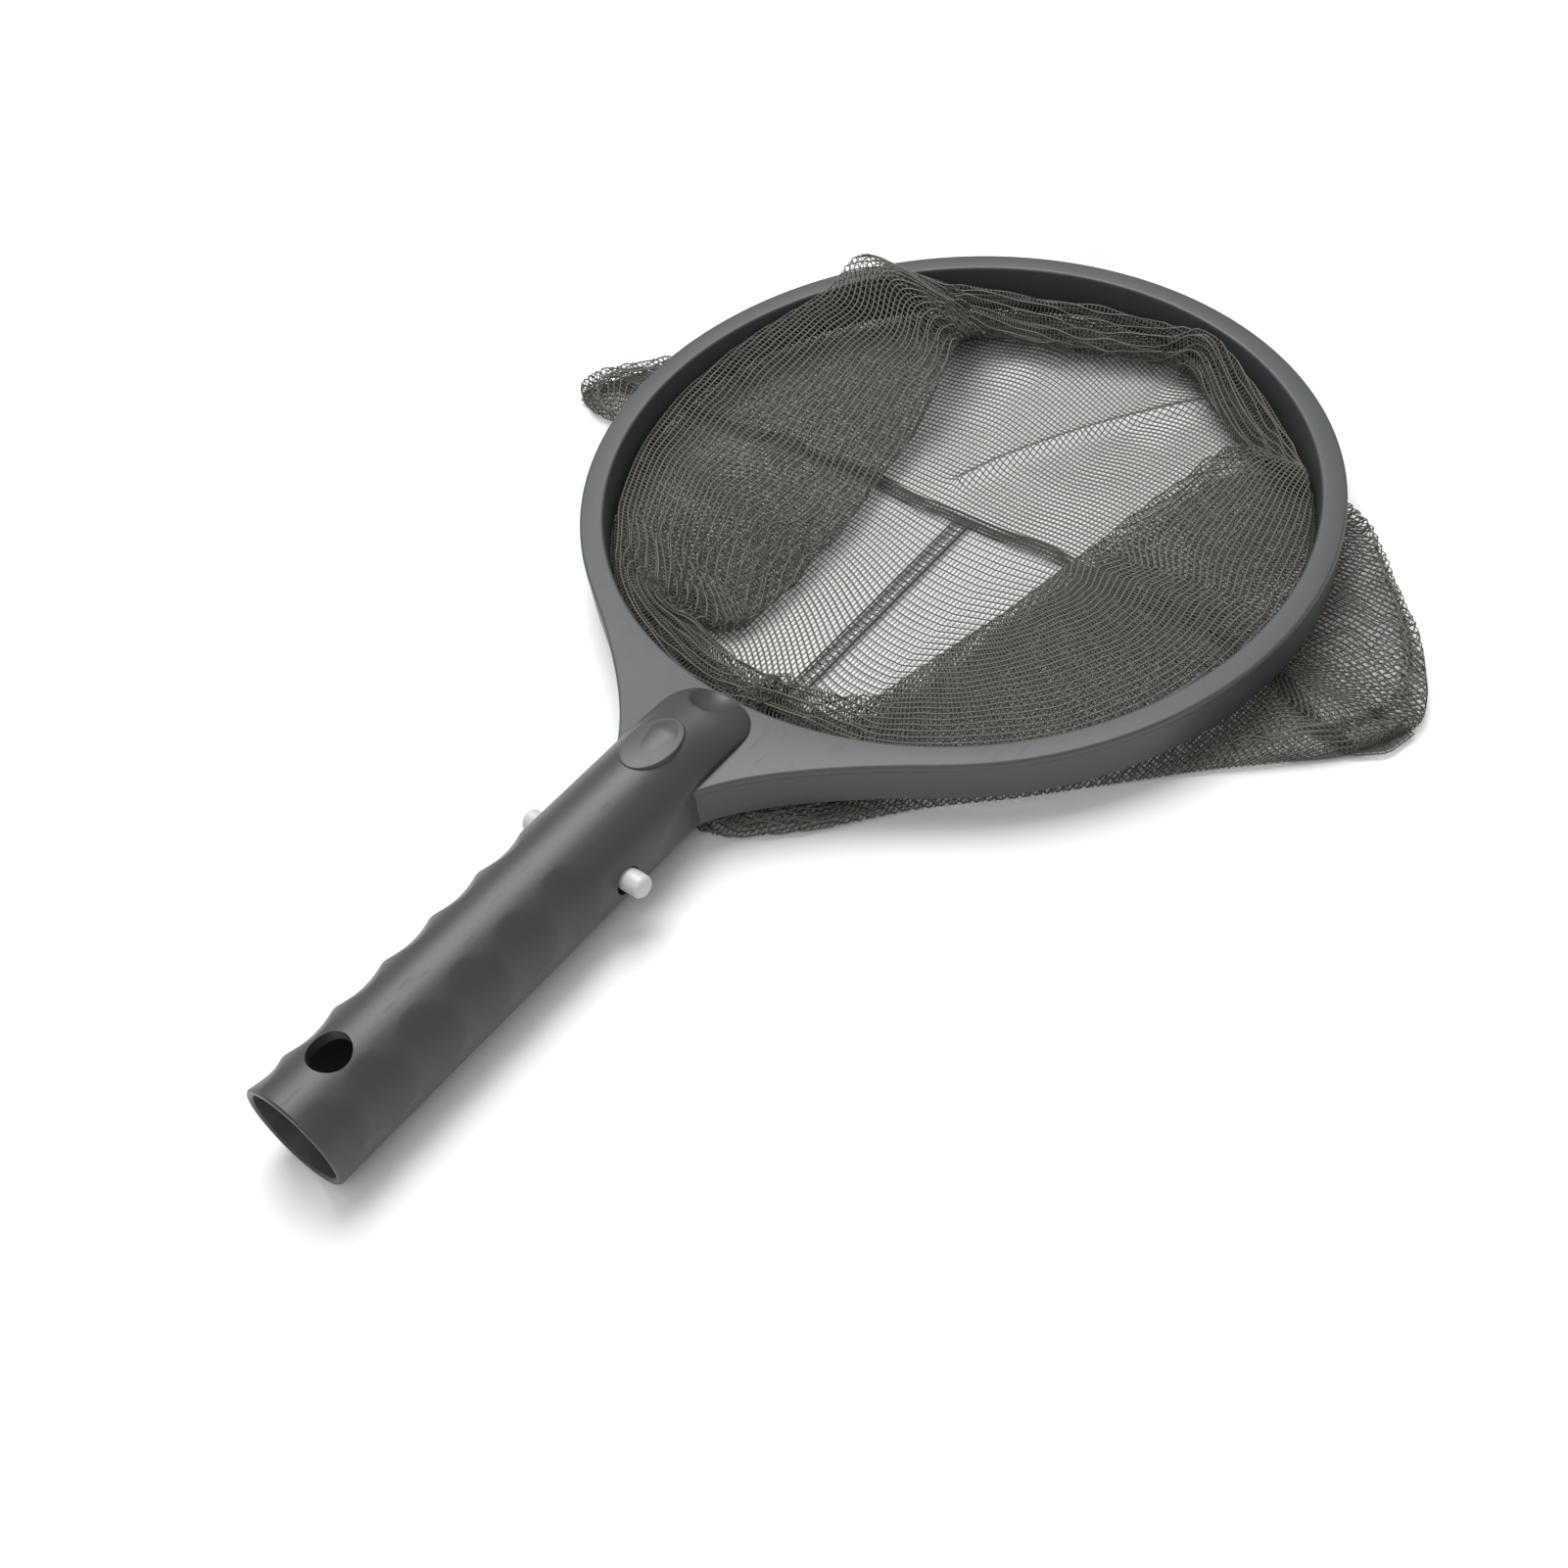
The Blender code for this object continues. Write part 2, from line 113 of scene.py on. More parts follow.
class Graph:
    """A material's node tree with one method that makes nodes."""

    def __init__(self, name: str) -> None:
        """Make an empty material.

        Args:
            name: The material's name.
        """
        self.material = bpy.data.materials.new(name)
        self.material.use_nodes = True
        self.tree = self.material.node_tree
        self.tree.nodes.clear()

    def node(self, kind: str, settings: dict | None = None, sockets: dict | None = None,
             output: int | str = 0) -> Value:
        """Make a node, set it up, and fill its inputs.

        Args:
            kind: The node's type.
            settings: Values of its own settings; a ramp's stops go under "stops".
            sockets: Values or links of its inputs, by name or place.
            output: The output to return.

        Returns:
            The chosen output.
        """
        made = self.tree.nodes.new(kind)
        for key, value in (settings or {}).items():
            if key == "stops":
                self._fill_ramp(made.color_ramp, value)
            else:
                setattr(made, key, value)
        for key, value in (sockets or {}).items():
            if isinstance(value, Value):
                self.tree.links.new(value.socket, made.inputs[key])
            else:
                made.inputs[key].default_value = value
        return Value(self, made.outputs[output]) if made.outputs else Value(self, None)

    @staticmethod
    def _fill_ramp(ramp: bpy.types.ColorRamp, stops: list[tuple]) -> None:
        """Set a ramp's stops.

        Args:
            ramp: The colour ramp.
            stops: (place, colour) pairs from low to high.
        """
        while len(ramp.elements) < len(stops):
            ramp.elements.new(0.5)
        for element, (place, colour) in zip(ramp.elements, stops):
            element.position = place
            element.color = colour

    def noise(self, place: Value, scale: float, detail: float, **more: float) -> Value:
        """Return a noise over a place, with more of its sockets by name."""
        return self.node("ShaderNodeTexNoise", None,
                         {"Vector": place, "Scale": scale, "Detail": detail, **more})

    def blend(self, share: Value, first: object, second: object) -> Value:
        """Return a colour between two colours."""
        return self.node("ShaderNodeMix", {"data_type": "RGBA"},
                         {0: share, 6: first, 7: second}, 2)

    def finish(self, shader: Value) -> bpy.types.Material:
        """Link the shader to the output and return the material."""
        self.node("ShaderNodeOutputMaterial", None, {"Surface": shader})
        return self.material


def shade_of(colour: tuple, factor: float) -> tuple:
    """Return a colour made lighter or darker by a factor, with alpha 1."""
    return tuple(min(1.0, part * factor) for part in colour[:3]) + (1.0,)


@dataclass(frozen=True)
class MouldedPlastic:
    """Injection-moulded plastic: soft mottle, spark-eroded grain and handling marks."""

    name: str
    colour: tuple
    roughness: float = 0.42
    grain: Grain = Grain.FINE
    bump: float = 0.10
    mottle: float = 0.10

    def build(self) -> bpy.types.Material:
        """Return the finished material."""
        graph = Graph(self.name)
        place = graph.node("ShaderNodeTexCoord", None, None, "Object")
        cloud = graph.noise(place, 45.0, 4.0, Roughness=0.6)
        flow = graph.noise(place, 12.0, 2.0, Distortion=0.8)
        grain = graph.noise(place, self.grain.value, 2.0)
        stretched = graph.node("ShaderNodeMapping", {"vector_type": "POINT"},
                               {"Vector": place, "Scale": (1.0, 0.12, 1.0)})
        marks = graph.noise(stretched, 900.0, 1.0)
        scuff = graph.node("ShaderNodeValToRGB",
                           {"stops": [(0.62, (0, 0, 0, 1)), (0.74, (1, 1, 1, 1))]},
                           {"Fac": marks})
        tone = graph.blend(cloud, shade_of(self.colour, 1 - self.mottle),
                           shade_of(self.colour, 1 + self.mottle))
        worn = graph.blend(scuff * 0.10, tone, shade_of(self.colour, 1.5))
        rough = self.roughness - 0.05 + 0.12 * flow + 0.08 * scuff
        bumped = graph.node("ShaderNodeBump", None,
                            {"Height": grain + 0.6 * cloud, "Strength": self.bump,
                             "Distance": 0.0002})
        shader = graph.node("ShaderNodeBsdfPrincipled", None,
                            {"Base Color": worn, "Roughness": rough, "Normal": bumped,
                             "Specular IOR Level": 0.45})
        return graph.finish(shader)


@dataclass(frozen=True)
class KnitThread:
    """Nylon thread: colour that drifts along the cloth, twisted fibres and a soft sheen."""

    name: str
    dark: tuple
    light: tuple
    roughness: float = 0.5
    sheen: float = 0.25

    def build(self) -> bpy.types.Material:
        """Return the finished material."""
        graph = Graph(self.name)
        place = graph.node("ShaderNodeTexCoord", None, None, "Object")
        along = graph.node("ShaderNodeTexCoord", None, None, "UV")
        patch = graph.noise(place, 60.0, 3.0)
        single = graph.noise(place, 900.0, 2.0)
        twist = graph.node("ShaderNodeTexWave", {"wave_type": "BANDS"},
                           {"Vector": along, "Scale": 1.0, "Distortion": 1.5})
        drift = graph.blend(0.55 * patch + 0.45 * single, self.dark, self.light)
        bumped = graph.node("ShaderNodeBump", None,
                            {"Height": twist, "Strength": 0.25, "Distance": 0.0001})
        shader = graph.node("ShaderNodeBsdfPrincipled", None,
                            {"Base Color": drift, "Roughness": self.roughness + 0.15 * single,
                             "Normal": bumped, "Sheen Weight": self.sheen,
                             "Sheen Roughness": 0.4, "Specular IOR Level": 0.4})
        return graph.finish(shader)


@dataclass(frozen=True)
class RolledSteel:
    """Bright spring strip with rolling marks along its length."""

    name: str
    colour: tuple = (0.56, 0.56, 0.55, 1.0)

    def build(self) -> bpy.types.Material:
        """Return the finished material."""
        graph = Graph(self.name)
        place = graph.node("ShaderNodeTexCoord", None, None, "Object")
        drawn = graph.node("ShaderNodeMapping", {"vector_type": "POINT"},
                           {"Vector": place, "Scale": (1.0, 0.05, 1.0)})
        lines = graph.noise(drawn, 4000.0, 2.0)
        tone = graph.blend(lines, shade_of(self.colour, 0.8), shade_of(self.colour, 1.1))
        bumped = graph.node("ShaderNodeBump", None,
                            {"Height": lines, "Strength": 0.15, "Distance": 0.0001})
        shader = graph.node("ShaderNodeBsdfPrincipled", None,
                            {"Base Color": tone, "Roughness": 0.22 + 0.2 * lines,
                             "Metallic": 1.0, "Normal": bumped})
        return graph.finish(shader)


@dataclass(frozen=True)
class StageFloor:
    """The pale matt floor."""

    name: str = "stage_floor"
    colour: tuple = (0.86, 0.86, 0.86, 1.0)

    def build(self) -> bpy.types.Material:
        """Return the finished material."""
        graph = Graph(self.name)
        shader = graph.node("ShaderNodeBsdfPrincipled", None,
                            {"Base Color": self.colour, "Roughness": 0.9,
                             "Specular IOR Level": 0.1})
        return graph.finish(shader)


# ---- mesh helpers ----
def mesh_of(name: str, form: bmesh.types.BMesh) -> bpy.types.Mesh:
    """Return a bmesh as a mesh, and free it."""
    data = bpy.data.meshes.new(name)
    form.to_mesh(data)
    form.free()
    return data


def link_object(name: str, data: bpy.types.ID) -> bpy.types.Object:
    """Put new data in the scene at the origin and return its object."""
    made = bpy.data.objects.new(name, data)
    bpy.context.scene.collection.objects.link(made)
    return made


def unit(vectors: np.ndarray) -> np.ndarray:
    """Return vectors at length 1."""
    return vectors / np.maximum(np.linalg.norm(vectors, axis=-1, keepdims=True), TINY)


def ramp(value: float, start: float, width: float) -> float:
    """Return how far a value has come through a range, from 0 to 1."""
    return min(1.0, max(0.0, (value - start) / width))


def part_way(start: np.ndarray, end: np.ndarray, share: float | np.ndarray) -> np.ndarray:
    """Return the points that lie a share of the way from start to end."""
    return start * (1 - share) + end * share


def add_piece(name: str, form: bmesh.types.BMesh, material: bpy.types.Material, body: Body,
              sharp: float = 40.0) -> bpy.types.Object:
    """Turn a bmesh into a piece that rides on a body.

    Args:
        name: The piece's name.
        form: The finished bmesh, which is freed.
        material: The piece's finish.
        body: The body that it rides on.
        sharp: Edges steeper than this, in degrees, stay sharp.

    Returns:
        The new object.
    """
    data = mesh_of(name, form)
    data.materials.append(material)
    data.shade_smooth()
    data.set_sharp_from_angle(angle=math.radians(sharp))
    made = link_object(name, data)
    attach(made, body.value)
    LOG.info("%s: %d faces", name, len(data.polygons))
    return made


def rounded(points: list[tuple[float, float]], radii: list[float], steps: int = 4
            ) -> list[tuple[float, float]]:
    """Round the corners of a closed profile.

    Args:
        points: The profile's corners.
        radii: How far each corner's arc reaches along its two sides.
        steps: Segments in each arc.

    Returns:
        The rounded profile.
    """
    result = []
    for index, (corner, reach) in enumerate(zip(points, radii)):
        here = Vector(corner)
        if reach <= 0:
            result.append(tuple(here))
            continue
        before = (Vector(points[index - 1]) - here).normalized() * reach + here
        after = (Vector(points[(index + 1) % len(points)]) - here).normalized() * reach + here
        for step in range(steps + 1):
            t = step / steps
            result.append(tuple(before * (1 - t) ** 2 + here * 2 * t * (1 - t) + after * t * t))
    return result


def turned(profile: list[tuple[float, float]], steps: int, closed: bool = True
           ) -> bmesh.types.BMesh:
    """Spin a profile about the Z axis.

    Args:
        profile: (radius, height) points.
        steps: Segments of the full turn.
        closed: Whether the last point joins the first.

    Returns:
        The closed form, with its faces pointing out.
    """
    form = bmesh.new()
    points = [form.verts.new((radius, 0, height)) for radius, height in profile]
    edges = [form.edges.new(pair) for pair in zip(points, points[1:])]
    if closed:
        edges.append(form.edges.new((points[-1], points[0])))
    bmesh.ops.spin(form, geom=points + edges, axis=(0, 0, 1), cent=(0, 0, 0),
                   angle=math.tau, steps=steps, use_merge=True, use_duplicate=False)
    bmesh.ops.remove_doubles(form, verts=form.verts, dist=1e-6)
    bmesh.ops.recalc_face_normals(form, faces=form.faces)
    return form


def cut(made: bpy.types.Object, cutters: list[bmesh.types.BMesh]) -> None:
    """Cut shapes out of a piece for good.

    Args:
        made: The piece.
        cutters: The shapes to take away, which are freed.
    """
    for form in cutters:
        tool = link_object("cutter", mesh_of("cutter", form))
        step = made.modifiers.new("cut", "BOOLEAN")
        step.operation = "DIFFERENCE"
        step.solver = "EXACT"
        step.object = tool
        graph = bpy.context.evaluated_depsgraph_get()
        fresh = bpy.data.meshes.new_from_object(made.evaluated_get(graph))
        made.modifiers.clear()
        made.data = fresh
        bpy.data.objects.remove(tool, do_unlink=True)


# ---- hoop ----
@dataclass
class Hoop:
    """The moulded hoop: a channel open downwards that widens into two webs at the handle."""

    material: bpy.types.Material
    inner_r: float = 0.0962
    outer_r: float = 0.1025
    top_z: float = HOOP_TOP
    base_z: float = HOOP_BASE
    wall: float = 0.0015
    plate: float = 0.0020
    edge: float = 0.0009
    lip: float = 0.0003
    lip_low: float = 0.00198
    lip_end: float = 0.00234
    soft: float = 0.0003
    inner_soft: float = 0.0004
    overlap: float = 0.0002
    steps: int = 360
    hidden_steps: int = 72
    web_start: Vector = Vector((0.0560, -0.0860))
    web_bend: Vector = Vector((0.0240, -0.1070))
    web_end: Vector = Vector((0.0134, -0.1232))
    web_tail: Vector = Vector((0.0110, -0.1278))

    def web_table(self) -> tuple[np.ndarray, np.ndarray]:
        """Return the web's edge as angles off -Y and radii, both rising with the angle."""
        t = np.linspace(1.0, 0.0, 41)[:, None]
        path = (np.array(self.web_start) * (1 - t) ** 2
                + np.array(self.web_bend) * 2 * t * (1 - t) + np.array(self.web_end) * t ** 2)
        path = np.vstack([[self.web_tail], path])
        return np.arctan2(path[:, 0], -path[:, 1]), np.hypot(path[:, 0], path[:, 1])

    def reach(self, x: float, y: float, table: tuple[np.ndarray, np.ndarray]) -> float:
        """Return how far the outline stands out past the plain hoop in a direction."""
        off = abs(math.atan2(x, -y))
        angles, radii = table
        if off > angles[-1]:
            return 0.0
        if off < angles[0]:
            return -self.web_tail.y / math.cos(off) - self.outer_r
        return float(np.interp(off, angles, radii)) - self.outer_r

    def profile(self) -> list[tuple[float, float]]:
        """Return the channel's rounded section as (radius, height) points."""
        floor_z = self.top_z - self.plate
        corners = [(self.outer_r + self.lip, self.top_z),
                   (self.outer_r + self.lip, self.top_z - self.lip_low),
                   (self.outer_r, self.top_z - self.lip_end),
                   (self.outer_r, self.base_z), (self.outer_r - self.wall, self.base_z),
                   (self.outer_r - self.wall, floor_z), (self.inner_r + self.wall, floor_z),
                   (self.inner_r + self.wall, self.base_z), (self.inner_r, self.base_z),
                   (self.inner_r, self.top_z)]
        soft = self.soft
        radii = [self.edge, *[soft] * 4, *[self.inner_soft] * 2, soft, soft, self.edge]
        return rounded(corners, radii)

    def build(self) -> bpy.types.Object:
        """Build the hoop with its webs and the wall that closes the channel behind them.

        Returns:
            The hoop.
        """
        table = self.web_table()
        form = turned(self.profile(), self.steps)
        middle = (self.outer_r + self.inner_r) / 2
        for vertex in form.verts:
            radius = math.hypot(vertex.co.x, vertex.co.y)
            if radius < middle:
                continue
            grow = (radius + self.reach(vertex.co.x, vertex.co.y, table)) / radius
            vertex.co.x *= grow
            vertex.co.y *= grow
        self.close_channel(form, table)
        hoop = add_piece("hoop_frame_moulding", form, self.material, Body.SKIMMER,
                         30)
        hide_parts("hoop_frame")
        return hoop

    def close_channel(self, form: bmesh.types.BMesh, table: tuple[np.ndarray, np.ndarray]
                      ) -> None:
        """Add the arc of channel wall that runs on under the webs.

        Args:
            form: The hoop's bmesh, which gains the wall.
            table: The web's edge.
        """
        span = float(table[0][-1])
        inside = self.outer_r - self.wall
        top = self.top_z - self.plate + self.overlap
        corners = [(inside, self.base_z), (self.outer_r, self.base_z), (self.outer_r, top),
                   (inside, top)]
        turn = Matrix.Rotation(-span, 3, "Z")
        start = [form.verts.new(turn @ Vector((0, -radius, z))) for radius, z in corners]
        face = form.faces.new(start)
        bmesh.ops.spin(form, geom=[face], axis=(0, 0, 1), cent=(0, 0, 0), angle=2 * span,
                       steps=self.hidden_steps, use_merge=False)
        bmesh.ops.recalc_face_normals(form, faces=form.faces)


# ---- handle ----
@dataclass
class Handle:
    """The hollow pole handle: dished nose, thumb oval, finger grips and hanging hole."""

    material: bpy.types.Material
    axis_z: float = AXIS_Z
    nose_y: float = 0.0965
    nose_length: float = 0.0120
    nose_bluntness: float = 0.62
    nose_rings: int = 36
    ring_step: float = 0.0010
    fine_step: float = 0.0004
    end_y: float = 0.2440
    edge: float = 0.0005
    neck_y: float = 0.1100
    neck_r: float = 0.0141
    end_r: float = 0.01425
    bore_r: float = 0.0112
    mouth_r: float = 0.0124
    mouth_length: float = 0.0070
    bore_end: float = 0.1155
    bore_guard: float = 0.0004
    steps: int = 128
    grip_count: int = 6
    grip_first: float = 0.1660
    grip_pitch: float = 0.0150
    grip_depth: float = 0.0012
    grip_angle: float = math.radians(61)
    grip_half: float = math.radians(36)
    grip_fade: float = 0.0070
    hole_y: float = 0.2282
    hole_r: float = 0.0052
    pad_y: float = 0.1235
    pad_size: tuple = (0.0130, 0.0190)
    pad_foot: float = 0.0118
    pad_top: float = 0.01445
    pad_tilt: float = 0.06
    button_y: float = BUTTON_Y
    button_hole_r: float = 0.0038
    hole_shift: float = 0.0005
    slope_start: float = 0.1190
    slope: float = 0.19
    nose_rise: float = 0.0088
    dish_size: tuple = (0.0084, 0.0100)
    dish_back: float = 0.0008
    dish_rise: float = 0.0074
    plate_z: float = HOOP_TOP
    plate_r: float = 0.1028
    plate_sink: float = 0.0004
    step_y: float = 0.1130
    ramp_start: float = 0.1290
    ramp_bend: float = 1.6
    base_z: float = HOOP_BASE
    pinch_start: float = 0.1420
    pinch_length: float = 0.0190
    pinched_x: float = 0.0125

    def radius_at(self, distance: float) -> float:
        """Return the outer radius at a distance along the handle."""
        share = (distance - self.neck_y) / (self.end_y - self.neck_y)
        return self.neck_r + (self.end_r - self.neck_r) * share

    def profile(self) -> list[tuple[float, float]]:
        """Return the handle's section, outside from the open end to the nose, then the bore."""
        edge = self.edge
        end = self.end_y
        points = [(self.radius_at(end) - edge, end), (self.radius_at(end), end - edge)]
        distance = end - self.ring_step
        while distance > self.nose_y + self.nose_length:
            points.append((self.radius_at(distance), distance))
            distance -= self.ring_step if distance > self.bore_end else self.fine_step
        for step in range(self.nose_rings):
            angle = math.radians(90 * step / self.nose_rings)
            radius = self.neck_r * math.cos(angle) ** self.nose_bluntness
            points.append((radius, self.nose_y + self.nose_length * (1 - math.sin(angle))))
        points += [(0.0, self.nose_y), (0.0, self.bore_end), (self.bore_r - 0.0008, self.bore_end),
                   (self.bore_r, self.bore_end + 0.0008)]
        points += [(self.bore_r, end - self.mouth_length),
                   (self.bore_r + 0.0003, end - self.mouth_length - 0.0003),
                   (self.mouth_r, end - edge), (self.mouth_r + edge, end)]
        return points

    def grip(self, angle: float, distance: float) -> float:
        """Return how deep the finger grips press in at an angle off the top and a distance."""
        across = abs(abs(angle) - self.grip_angle) / self.grip_half
        nearest = round((distance - self.grip_first) / self.grip_pitch)
        nearest = min(max(nearest, 0), self.grip_count - 1)
        along = (distance - self.grip_first - nearest * self.grip_pitch) / (self.grip_pitch / 2)
        fade = ramp(self.end_y - distance, 0.0, self.grip_fade)
        return self.grip_depth * max(0.0, 1 - across * across - along * along) * fade

    def dish(self, x: float, y: float) -> float:
        """Return the height of the dish pressed into the nose's tip, or a large number."""
        across = x / self.dish_size[0]
        along = (y + self.nose_y + self.dish_back) / self.dish_size[1]
        away = across * across + along * along
        rise = self.dish_rise * (1 - math.sqrt(max(0.0, 1 - away)))
        return self.plate_z + 0.0002 + rise if away < 1.0 else 1.0

    def build(self) -> bpy.types.Object:
        """Build the handle and cut its holes.

        Returns:
            The handle.
        """
        form = turned(self.profile(), self.steps)
        for vertex in form.verts:
            x, y, distance = vertex.co
            radius = math.hypot(x, y)
            if radius > self.mouth_r + 0.0008:
                pressed = self.grip(math.atan2(x, y), distance)
                vertex.co.x *= (radius - pressed) / radius
                vertex.co.y *= (radius - pressed) / radius
        bmesh.ops.transform(form, verts=form.verts,
                            matrix=Matrix.Translation((0, 0, self.axis_z)) @ HANDLE_DOWN)
        handle = add_piece("handle_moulding", form, self.material, Body.SKIMMER,
                           35)
        cut(handle, self.holes())
        for vertex in handle.data.vertices:
            self.seat(vertex)
        handle.data.set_sharp_from_angle(angle=math.radians(35))
        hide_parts("handle")
        return handle

    def seat(self, vertex: bpy.types.MeshVertex) -> None:
        """Slope and dish the nose, narrow its flanks and rest it on the hoop's plate.

        Args:
            vertex: A vertex of the handle, which is moved.
        """
        x, y, z = vertex.co
        if z > self.plate_z:
            fall = self.slope * max(0.0, y + self.slope_start)
            height = self.plate_z + (z - self.plate_z) * (1 - fall / self.nose_rise)
            vertex.co.z = min(height, self.dish(x, y))
        if y > -self.bore_end + self.edge and math.hypot(x, y) < self.plate_r:
            vertex.co.z = max(vertex.co.z, self.plate_z - self.plate_sink)
        pinch = ramp(y, -self.pinch_start, self.pinch_length)
        widest = self.end_r + (self.pinched_x - self.end_r) * pinch
        vertex.co.x = min(widest, max(-widest, x))
        climb = ramp(y, -self.ramp_start, self.ramp_start - self.step_y)
        if climb > 0 and math.hypot(x, z - self.axis_z) > self.bore_r + self.bore_guard:
            vertex.co.z = max(vertex.co.z, self.base_z * climb ** self.ramp_bend)

    def holes(self) -> list[bmesh.types.BMesh]:
        """Return the shapes of the hanging hole and the two button holes."""
        hang = Matrix.Translation((0, -self.hole_y, self.axis_z + 0.015))
        sideways = Matrix.Rotation(math.radians(90), 4, "Y")
        wanted = [(hang, 96, self.hole_r, 0.02)]
        for x in (0.014, -0.014):
            place = Matrix.Translation((x, -self.button_y - self.hole_shift, self.axis_z))
            wanted.append((place @ sideways, 64, self.button_hole_r, 0.012))
        forms = []
        for matrix, segments, radius, depth in wanted:
            form = bmesh.new()
            bmesh.ops.create_cone(form, cap_ends=True, segments=segments, radius1=radius,
                                  radius2=radius, depth=depth, matrix=matrix)
            forms.append(form)
        return forms

    def build_pad(self) -> bpy.types.Object:
        """Build the flat thumb oval that stands out of the handle's top.

        Returns:
            The oval.
        """
        form = bmesh.new()
        bmesh.ops.create_circle(form, cap_ends=True, segments=96, radius=0.5)
        top = form.faces[:]
        bmesh.ops.transform(form, verts=form.verts,
                            matrix=Matrix.Translation((0, -self.pad_y, self.axis_z + self.pad_foot))
                            @ Matrix.Diagonal((*self.pad_size, 1, 1)))
        grown = bmesh.ops.extrude_face_region(form, geom=top)
        lifted = [item for item in grown["geom"] if isinstance(item, bmesh.types.BMVert)]
        bmesh.ops.translate(form, verts=lifted, vec=(0, 0, self.pad_top - self.pad_foot))
        for vertex in lifted:
            vertex.co.z -= self.pad_tilt * (vertex.co.y + self.pad_y + self.pad_size[1] / 2)
        caps = [item for item in grown["geom"] if isinstance(item, bmesh.types.BMFace)]
        rim = list({edge for cap in caps for edge in cap.edges})
        bmesh.ops.bevel(form, geom=rim, offset=0.0005, offset_type="OFFSET", affect="EDGES",
                        segments=4, profile=0.5, material=-1)
        bmesh.ops.recalc_face_normals(form, faces=form.faces)
        return add_piece("thumb_oval", form, self.material, Body.SKIMMER, 30)


# ---- snap clip ----
@dataclass
class SnapClip:
    """The spring strip in the bore and its two white buttons."""

    white: bpy.types.Material
    steel: bpy.types.Material
    axis_z: float = AXIS_Z
    button_y: float = BUTTON_Y
    button_r: float = 0.0030
    tip_x: float = 0.0190
    root_x: float = 0.0105
    dome: float = 0.0014
    dome_rings: int = 8
    neck_r: float = 0.0011
    rivet: tuple = ((0.0011, 0.0090), (0.0020, 0.0090), (0.0014, 0.0083), (0.0, 0.0083))

    def profile(self) -> list[tuple[float, float]]:
        """Return a button's section, from its tip down its side to its foot."""
        points = [(0.0, self.tip_x)]
        for step in range(1, self.dome_rings + 1):
            angle = math.radians(90 * step / self.dome_rings)
            points.append((self.button_r - self.dome * (1 - math.sin(angle)),
                           self.tip_x - self.dome * (1 - math.cos(angle))))
        return points + [(self.button_r, self.root_x), (self.neck_r, self.root_x), *self.rivet]

    def build(self) -> None:
        """Build both buttons and dress the strip."""
        for side, body in ((1, Body.RIGHT_CLIP), (-1, Body.LEFT_CLIP)):
            name = body.value.split("_")[0]
            form = turned(self.profile(), 64, closed=False)
            place = Matrix.Translation((0, -self.button_y, self.axis_z))
            bmesh.ops.transform(form, verts=form.verts,
                                matrix=place @ Matrix.Rotation(math.radians(90 * side), 4, "Y"))
            button = add_piece(f"{name}_button_pin", form, self.white, body,
                               40)
            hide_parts(f"{name}_snap_button")
        for node in ("clip_bend", "right_clip_arm", "left_clip_arm"):
            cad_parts[node].data.materials.clear()
            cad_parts[node].data.materials.append(self.steel)


# ---- hem ----
@dataclass
class HemLock:
    """The hem in the channel, its skirt below it, its cord and the ring that locks them in."""

    hem_cloth: bpy.types.Material
    cord_cloth: bpy.types.Material
    plastic: bpy.types.Material
    low: float = 0.0073
    skirt: float = 0.0030
    lock: tuple = (0.0987, 0.1007, 0.0148)
    band: tuple = (0.0980, 0.0984, 0.0149)
    skirt_r: tuple = (0.0986, 0.0990)
    cord: tuple = (0.09935, 0.0162, 0.0010)
    steps: int = 288

    def build(self) -> None:
        """Build the three rings that close the channel."""
        low = self.low
        inner, outer, top = self.lock
        corners = [(outer, top), (outer, low), (inner, low), (inner, top)]
        form = turned(rounded(corners, [0.0003] * 4, 3), self.steps)
        piece = add_piece("retaining_ring_moulding", form, self.plastic, Body.SKIMMER,
                          30)
        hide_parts("retaining_ring")
        inner, outer, top = self.band
        skirt_in, skirt_out = self.skirt_r
        form = turned([(outer, top), (outer, low), (skirt_out, self.skirt),
                       (skirt_in, self.skirt), (inner, low), (inner, top)], self.steps)
        piece = add_piece("net_hem_band", form, self.hem_cloth, Body.SKIMMER)
        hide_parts("net_hem")
        middle, height, thick = self.cord
        section = [(middle + thick * math.cos(a), height + thick * math.sin(a))
                   for a in (math.tau * step / 12 for step in range(12))]
        form = turned(section, self.steps)
        piece = add_piece("hem_cord_ring", form, self.cord_cloth, Body.SKIMMER, 80)
        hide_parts("hem_cord")


# ---- net ----
@dataclass(frozen=True)
class Fold:
    """How one column of the sack lies, by the angle where it leaves the hoop.

    Lengths are in millimetres.  The column rises inside the hoop's wall to (wall_r, wall_z),
    runs inwards to its first fold, back under itself to its second fold, and in to the seam.
    """

    angle: float
    wall_r: float
    wall_z: float
    inward: tuple[float, float, float]
    outward: tuple[float, float, float]


